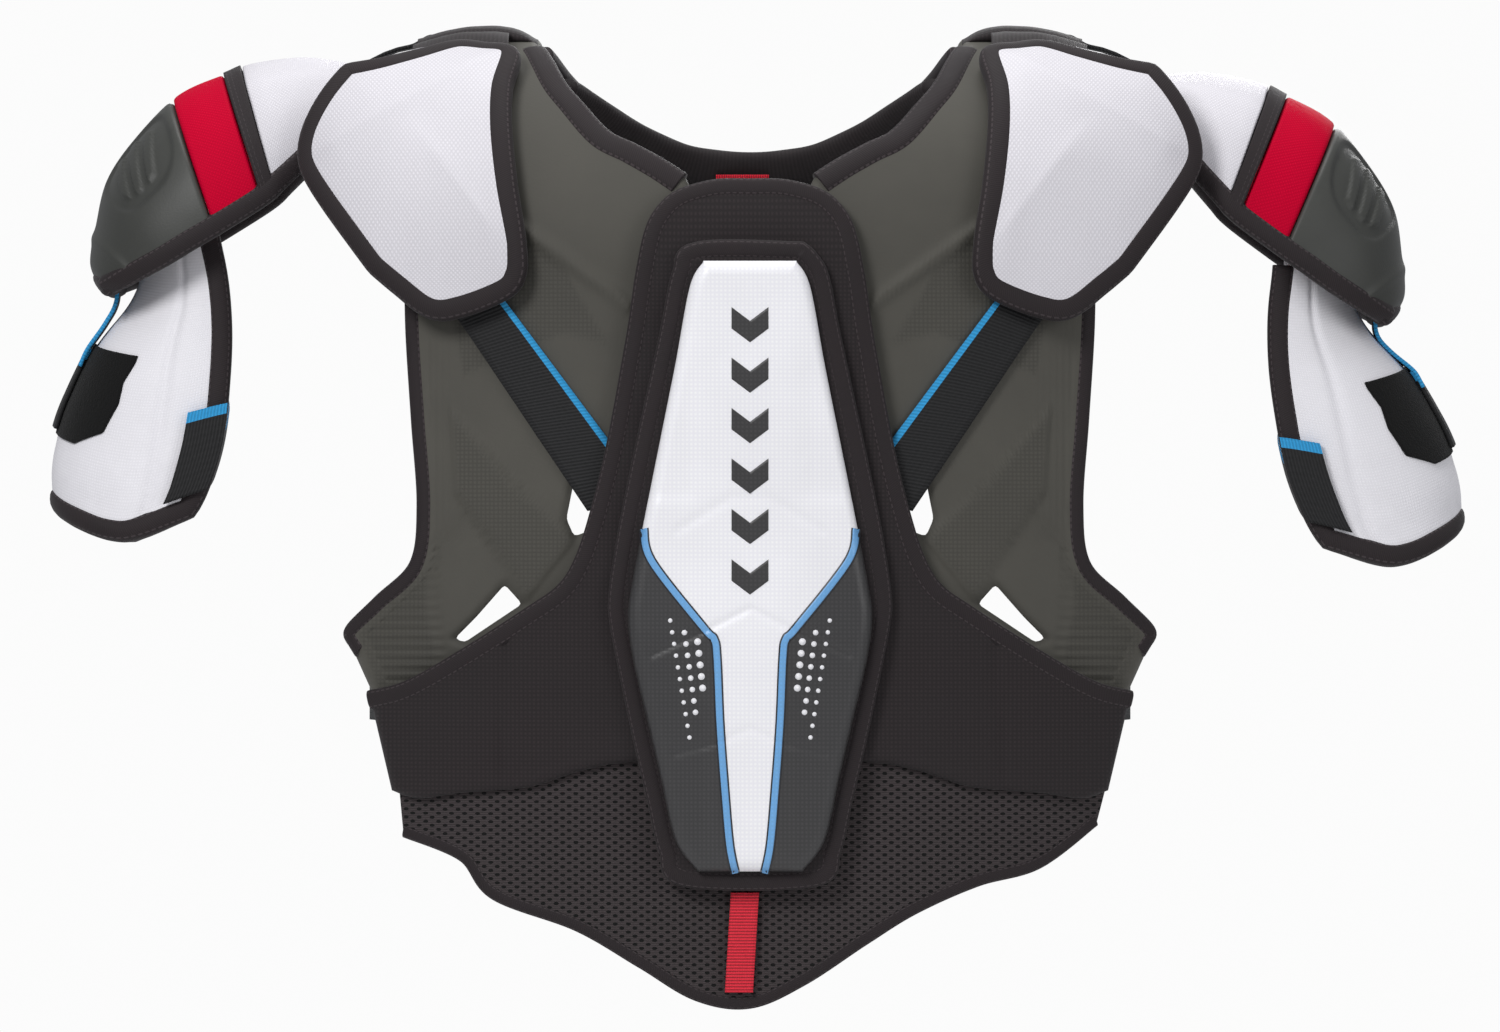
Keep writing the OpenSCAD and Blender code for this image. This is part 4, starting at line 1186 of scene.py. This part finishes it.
def guard_point(s, h, angle, out):
    h, angle, out = np.broadcast_arrays(arr(h), arr(angle), arr(out))
    k = np.clip(h, 0.02, 0.98)
    n = unit(np.cross(guard_outside(k + 0.02, angle) - guard_outside(k - 0.02, angle),
                      guard_outside(k, angle + 1) - guard_outside(k, angle - 1)))
    away = np.stack([np.sin(np.radians(angle)), -np.cos(np.radians(angle)), np.zeros_like(angle)], -1)
    n = n * np.sign((n * away).sum(-1, keepdims=True))
    p = (guard_outside(h, angle) + out[..., None] * n) * np.array([s, 1, 1])
    return turned(p, s, True)


def build_biceps():
    for s, side in SIDES:
        body = f"biceps_{side}"
        hs, angles = stations(110, 0.5), GUARD_SWEEP * stations(120, 0.5)

        def guard_top(h, a):
            d = np.minimum(np.minimum(h, 1 - h) * 150, np.minimum(a, GUARD_SWEEP - a) * 1.1)
            crease = 1.4 * bell(a - 27 + 10 * h, 2.6)
            return -4.2 * (1 - crown(d, 6)) - crease * ease(d / 8) + 0.9 * np.sin(np.pi * h) * ease(d / 20)

        o = shell(f"biceps_guard_{side}_cover", lambda h, a, out, s=s: guard_point(s, h, a, out), hs, angles,
                  guard_top, GUARD_WALL, MAT["white_flat"], body, [f"biceps_guard_{side}"])
        stops = np.concatenate([
            np.stack([np.linspace(0.03, 1, 60), np.full(60, 0.0)], 1),
            np.stack([np.full(110, 1.0), np.linspace(2, 156, 110)], 1),
            np.stack([np.linspace(1, 0.03, 60), np.full(60, float(GUARD_SWEEP))], 1)])
        taped(f"guard_binding_{side}", rim_path(guard_point, s, stops, GUARD_WALL), 6, GUARD_WALL / 2 + 1.5, body)
        h, a = np.meshgrid(np.linspace(0.44, 0.76, 40), np.linspace(0, 1, 60), indexing="ij")
        a = mix(np.interp(h, [0.46, 0.53, 0.6, 0.7, 0.76], [38, 41, 40, 44, 60]), 112, a)
        verts, faces = closed_grid(guard_point(s, h, a, 2.0), guard_point(s, h, a, 0.6))
        uv = np.stack([h * 0.15, a * 0.001], -1).reshape(-1, 2)
        piece(f"loop_patch_{side}_pile", verts, faces, np.concatenate([uv, uv]), MAT["pile"], body,
              [f"loop_patch_{side}"])
        for node, h0, h1, a0, a1, low, high, who in (
                ("inner_loop", 0.64, 0.95, -4, 10, 2.4, 4.2, body),
                ("biceps_tab", 0.46, 0.74, 78, 117, 2.6, 4.6, f"biceps_tab_{side}")):
            h, a = np.meshgrid(np.linspace(h0, h1, 24), np.linspace(a0, a1, 40), indexing="ij")
            belt(f"{node}_{side}", guard_point(s, h, a, high), guard_point(s, h, a, low), who)
        downs, turn = np.linspace(0, 1, 10), np.linspace(STRAP_FROM, STRAP_TO, 90)
        d, a = np.meshgrid(downs, turn, indexing="ij")
        z = -112 - d * STRAP_FALL - STRAP_FALL * (a - STRAP_FROM) / (STRAP_TO - STRAP_FROM)

        def strap_at(out, d=d, a=a, z=z, s=s):
            reach = np.where(a < 180, reach_s(z), 0)
            r = np.radians(a)
            p = np.stack([s * (inner_s(z) + (reach + out) * np.sin(r)), -(depth_s(z) + out) * np.cos(r), z], -1)
            return turned(p, s, True)

        belt(f"biceps_strap_{side}", strap_at(5), strap_at(3), body)


WAIST_STRAP_TOP, WAIST_STRAP_FOOT = -265, -297


def build_waist():
    for s, side in SIDES:
        for node, pts, body in (
                ("waist_anchor", [[172, -65], [184, -56], [192.5, -43.5]], "front"),
                ("waist_strap", [[194, -41.5], [198, -15], [198, 12], [195, 34], [192.5, 48], [191.5, 60]],
                 f"waist_strap_{side}")):
            p = along(arr(pts), np.linspace(0, 1, 50)) * np.array([s, 1])
            t = unit(np.gradient(p, axis=0))
            n = np.stack([-t[:, 1], t[:, 0]], 1)
            zs = np.linspace(WAIST_STRAP_TOP, WAIST_STRAP_FOOT, 9)
            grids = []
            for half in (1, -1):
                e = p + half * n
                x, z = np.broadcast_arrays(e[None, :, 0], zs[:, None])
                grids.append(np.stack([x, np.broadcast_to(e[None, :, 1], x.shape), z], -1))
            belt(f"{node}_{side}", grids[0], grids[1], body)


YOKE_REACH = 12


def sheet_of(name, top, low, mat, body):
    """A patch of fabric between two grids of points."""
    verts, faces = closed_grid(top, low)
    run = run_of(top[:, 0]) * MM
    arc = run_of(top[0]) * MM
    uv = np.stack(np.broadcast_arrays(run[:, None], arc[None]), -1).reshape(-1, 2)
    return piece(name, verts, faces, np.concatenate([uv, uv]), mat, body, ())


def build_bridges():
    """The fabric and elastic that cross the joints."""
    for s, side in SIDES:
        turn = np.linspace(-YOKE_REACH, YOKE_REACH, 49)
        xs = np.linspace(111, 174, 60)
        crest = np.interp(xs, [111, 116, 123, 133, 148, 160, 168, 174],
                          [58.5, 62.4, 65.4, 66.8, 66.2, 64, 61.6, 59.4])
        crest = np.convolve(np.pad(crest, 3, "edge"), np.ones(7) / 7, "valid") - TURN_Z - RISE[FRONT]
        top, low = np.zeros((len(turn), len(xs), 3)), np.zeros((len(turn), len(xs), 3))
        for i, angle in enumerate(turn):
            kind = FRONT if angle < 0 else BACK
            q = np.full(len(xs), TURN_Z + TURN_LENGTH * (1 - abs(angle) / 90))
            base = np.minimum(12.5, crest - 1.6)
            swell = 0.4 + 0.6 * crown((YOKE_REACH - abs(angle)) * 1.9, 7)
            top[i] = on(kind, xs * s, q, base + (crest - base) * swell)
            low[i] = on(kind, xs * s, q, base)
        yoke = sheet_of(f"shoulder_yoke_{side}", top, low, MAT["dark"],
                        ("back", "front", (0, 0.014, 0.06), (0, -0.014, 0.06)))
        xs = np.linspace(126, 176, 50)
        crest = np.interp(xs, [126, 133, 148, 160, 168, 176], [66, 66.8, 66.2, 64, 61.6, 58.9])
        crest = crest - TURN_Z - RISE[FRONT]
        back_edge = on(FRONT, xs * s, np.full(50, TURN_Z + TURN_LENGTH * (1 - 11 / 90)), crest - 1.4)
        hem = np.interp(xs, [121.5, 138, 152, 212], [54, 59.2, 60.6, 45.8]) - 1
        flap_edge = on(FLAP, xs * s, q_of(FLAP, hem), 5.5)
        t = np.linspace(0, 1, 24)[:, None, None]
        link = mix(back_edge[None], flap_edge[None], t) + np.array([0, 0, 2.2]) * np.sin(np.pi * t)
        sheet_of(f"flap_hinge_cloth_{side}", link, link - np.array([0, 0, 1.4]), MAT["dark"],
                 ("front", f"flap_{side}", (0, -0.024, 0.062), (0, -0.044, 0.060)))
        path = along(arr([[331, -60], [332, -78], [338, -90], [347, -103], [351, -112]]), np.linspace(0, 1, 50))
        ahead = unit(np.gradient(path, axis=0))
        face = np.stack([-ahead[:, 1], ahead[:, 0]], 1)
        share = ease((np.linspace(0, 1, 50) - 0.2) / 0.6)[None, :, None]
        sides = []
        for half in (1, -1):
            e = path + half * face
            p = np.zeros((9, 50, 3))
            p[..., 0], p[..., 1], p[..., 2] = e[None, :, 0] * s, np.linspace(-14, 14, 9)[:, None], e[None, :, 1]
            sides.append(mix(turned(p, s), turned(p, s, True), share))
        start, end = sides[0][4, 8] * MM, sides[0][4, 42] * MM
        strip(f"arm_link_{side}_webbing", sides[0], sides[1], MAT["elastic_blue"],
              (f"arm_cap_{side}", f"biceps_{side}", tuple(start), tuple(end)), ())


build_back()
build_bridges()
build_flaps()
build_caps()
build_biceps()
build_waist()

# ---- stage ---------------------------------------------------------------------------------


LENS, SENSOR = 400, 36
FRAME_WIDTH = 0.78
AIM_Y, AIM_Z, FLOOR_Z = -0.075, -0.1905, -0.56


def build_stage():
    world = bpy.data.worlds.new("studio")
    bpy.context.scene.world = world
    world.use_nodes = True
    tree = world.node_tree
    lit, seen = tree.nodes["Background"], tree.nodes.new("ShaderNodeBackground")
    pick = tree.nodes.new("ShaderNodeMixShader")
    rays = tree.nodes.new("ShaderNodeLightPath")
    lit.inputs[0].default_value, lit.inputs[1].default_value = (0.94, 0.96, 1.0, 1), 0.34
    seen.inputs[0].default_value, seen.inputs[1].default_value = (0.97, 0.97, 0.97, 1), 1.0
    tree.links.new(rays.outputs["Is Camera Ray"], pick.inputs[0])
    tree.links.new(lit.outputs[0], pick.inputs[1])
    tree.links.new(seen.outputs[0], pick.inputs[2])
    tree.links.new(pick.outputs[0], tree.nodes["World Output"].inputs["Surface"])
    bm = bmesh.new()
    bmesh.ops.create_circle(bm, cap_ends=True, segments=96, radius=1.6)
    mesh = bpy.data.meshes.new("studio_floor")
    bm.to_mesh(mesh)
    bm.free()
    floor = bpy.data.objects.new("studio_floor", mesh)
    floor.location = (0, 0, FLOOR_Z)
    bpy.context.scene.collection.objects.link(floor)
    s = Shade("pale_floor")
    r = s.node("ShaderNodeVectorMath", {"operation": "LENGTH"}, i0=s.place()).outputs["Value"]
    s.put(s.bsdf.inputs["Alpha"], s.sub(1.0, s.mul(r, 0.66), True))
    s.finish((0.9, 0.9, 0.9), 0.9)
    mesh.materials.append(s.mat)
    for name, place, size, power, aim in (
            ("key", (-1.6, -2.6, 1.7), 1.3, 66, (0, 0, -0.15)),
            ("fill", (2.2, -2.2, 0.5), 1.8, 18, (0, 0, -0.2)),
            ("top", (0.1, 0.3, 2.4), 1.6, 34, (0, 0, -0.1)),
            ("rim", (0.6, 2.4, 0.9), 1.4, 26, (0, 0, -0.15))):
        light = bpy.data.lights.new(name, "AREA")
        light.shape, light.size, light.energy = "DISK", size, power
        o = bpy.data.objects.new(name, light)
        o.location = place
        o.rotation_euler = (Vector(aim) - Vector(place)).to_track_quat("-Z", "Y").to_euler()
        bpy.context.scene.collection.objects.link(o)
    bpy.context.scene.view_settings.view_transform = "Standard"
    cam = bpy.data.cameras.new("camera")
    cam.lens, cam.sensor_width = LENS, SENSOR
    o = bpy.data.objects.new("camera", cam)
    distance = FRAME_WIDTH * LENS / SENSOR
    o.location = (0.0, AIM_Y - distance, AIM_Z)
    o.rotation_euler = (math.pi / 2, 0, 0)
    cam.clip_end = 60
    bpy.context.scene.collection.objects.link(o)
    bpy.context.scene.camera = o


build_stage()
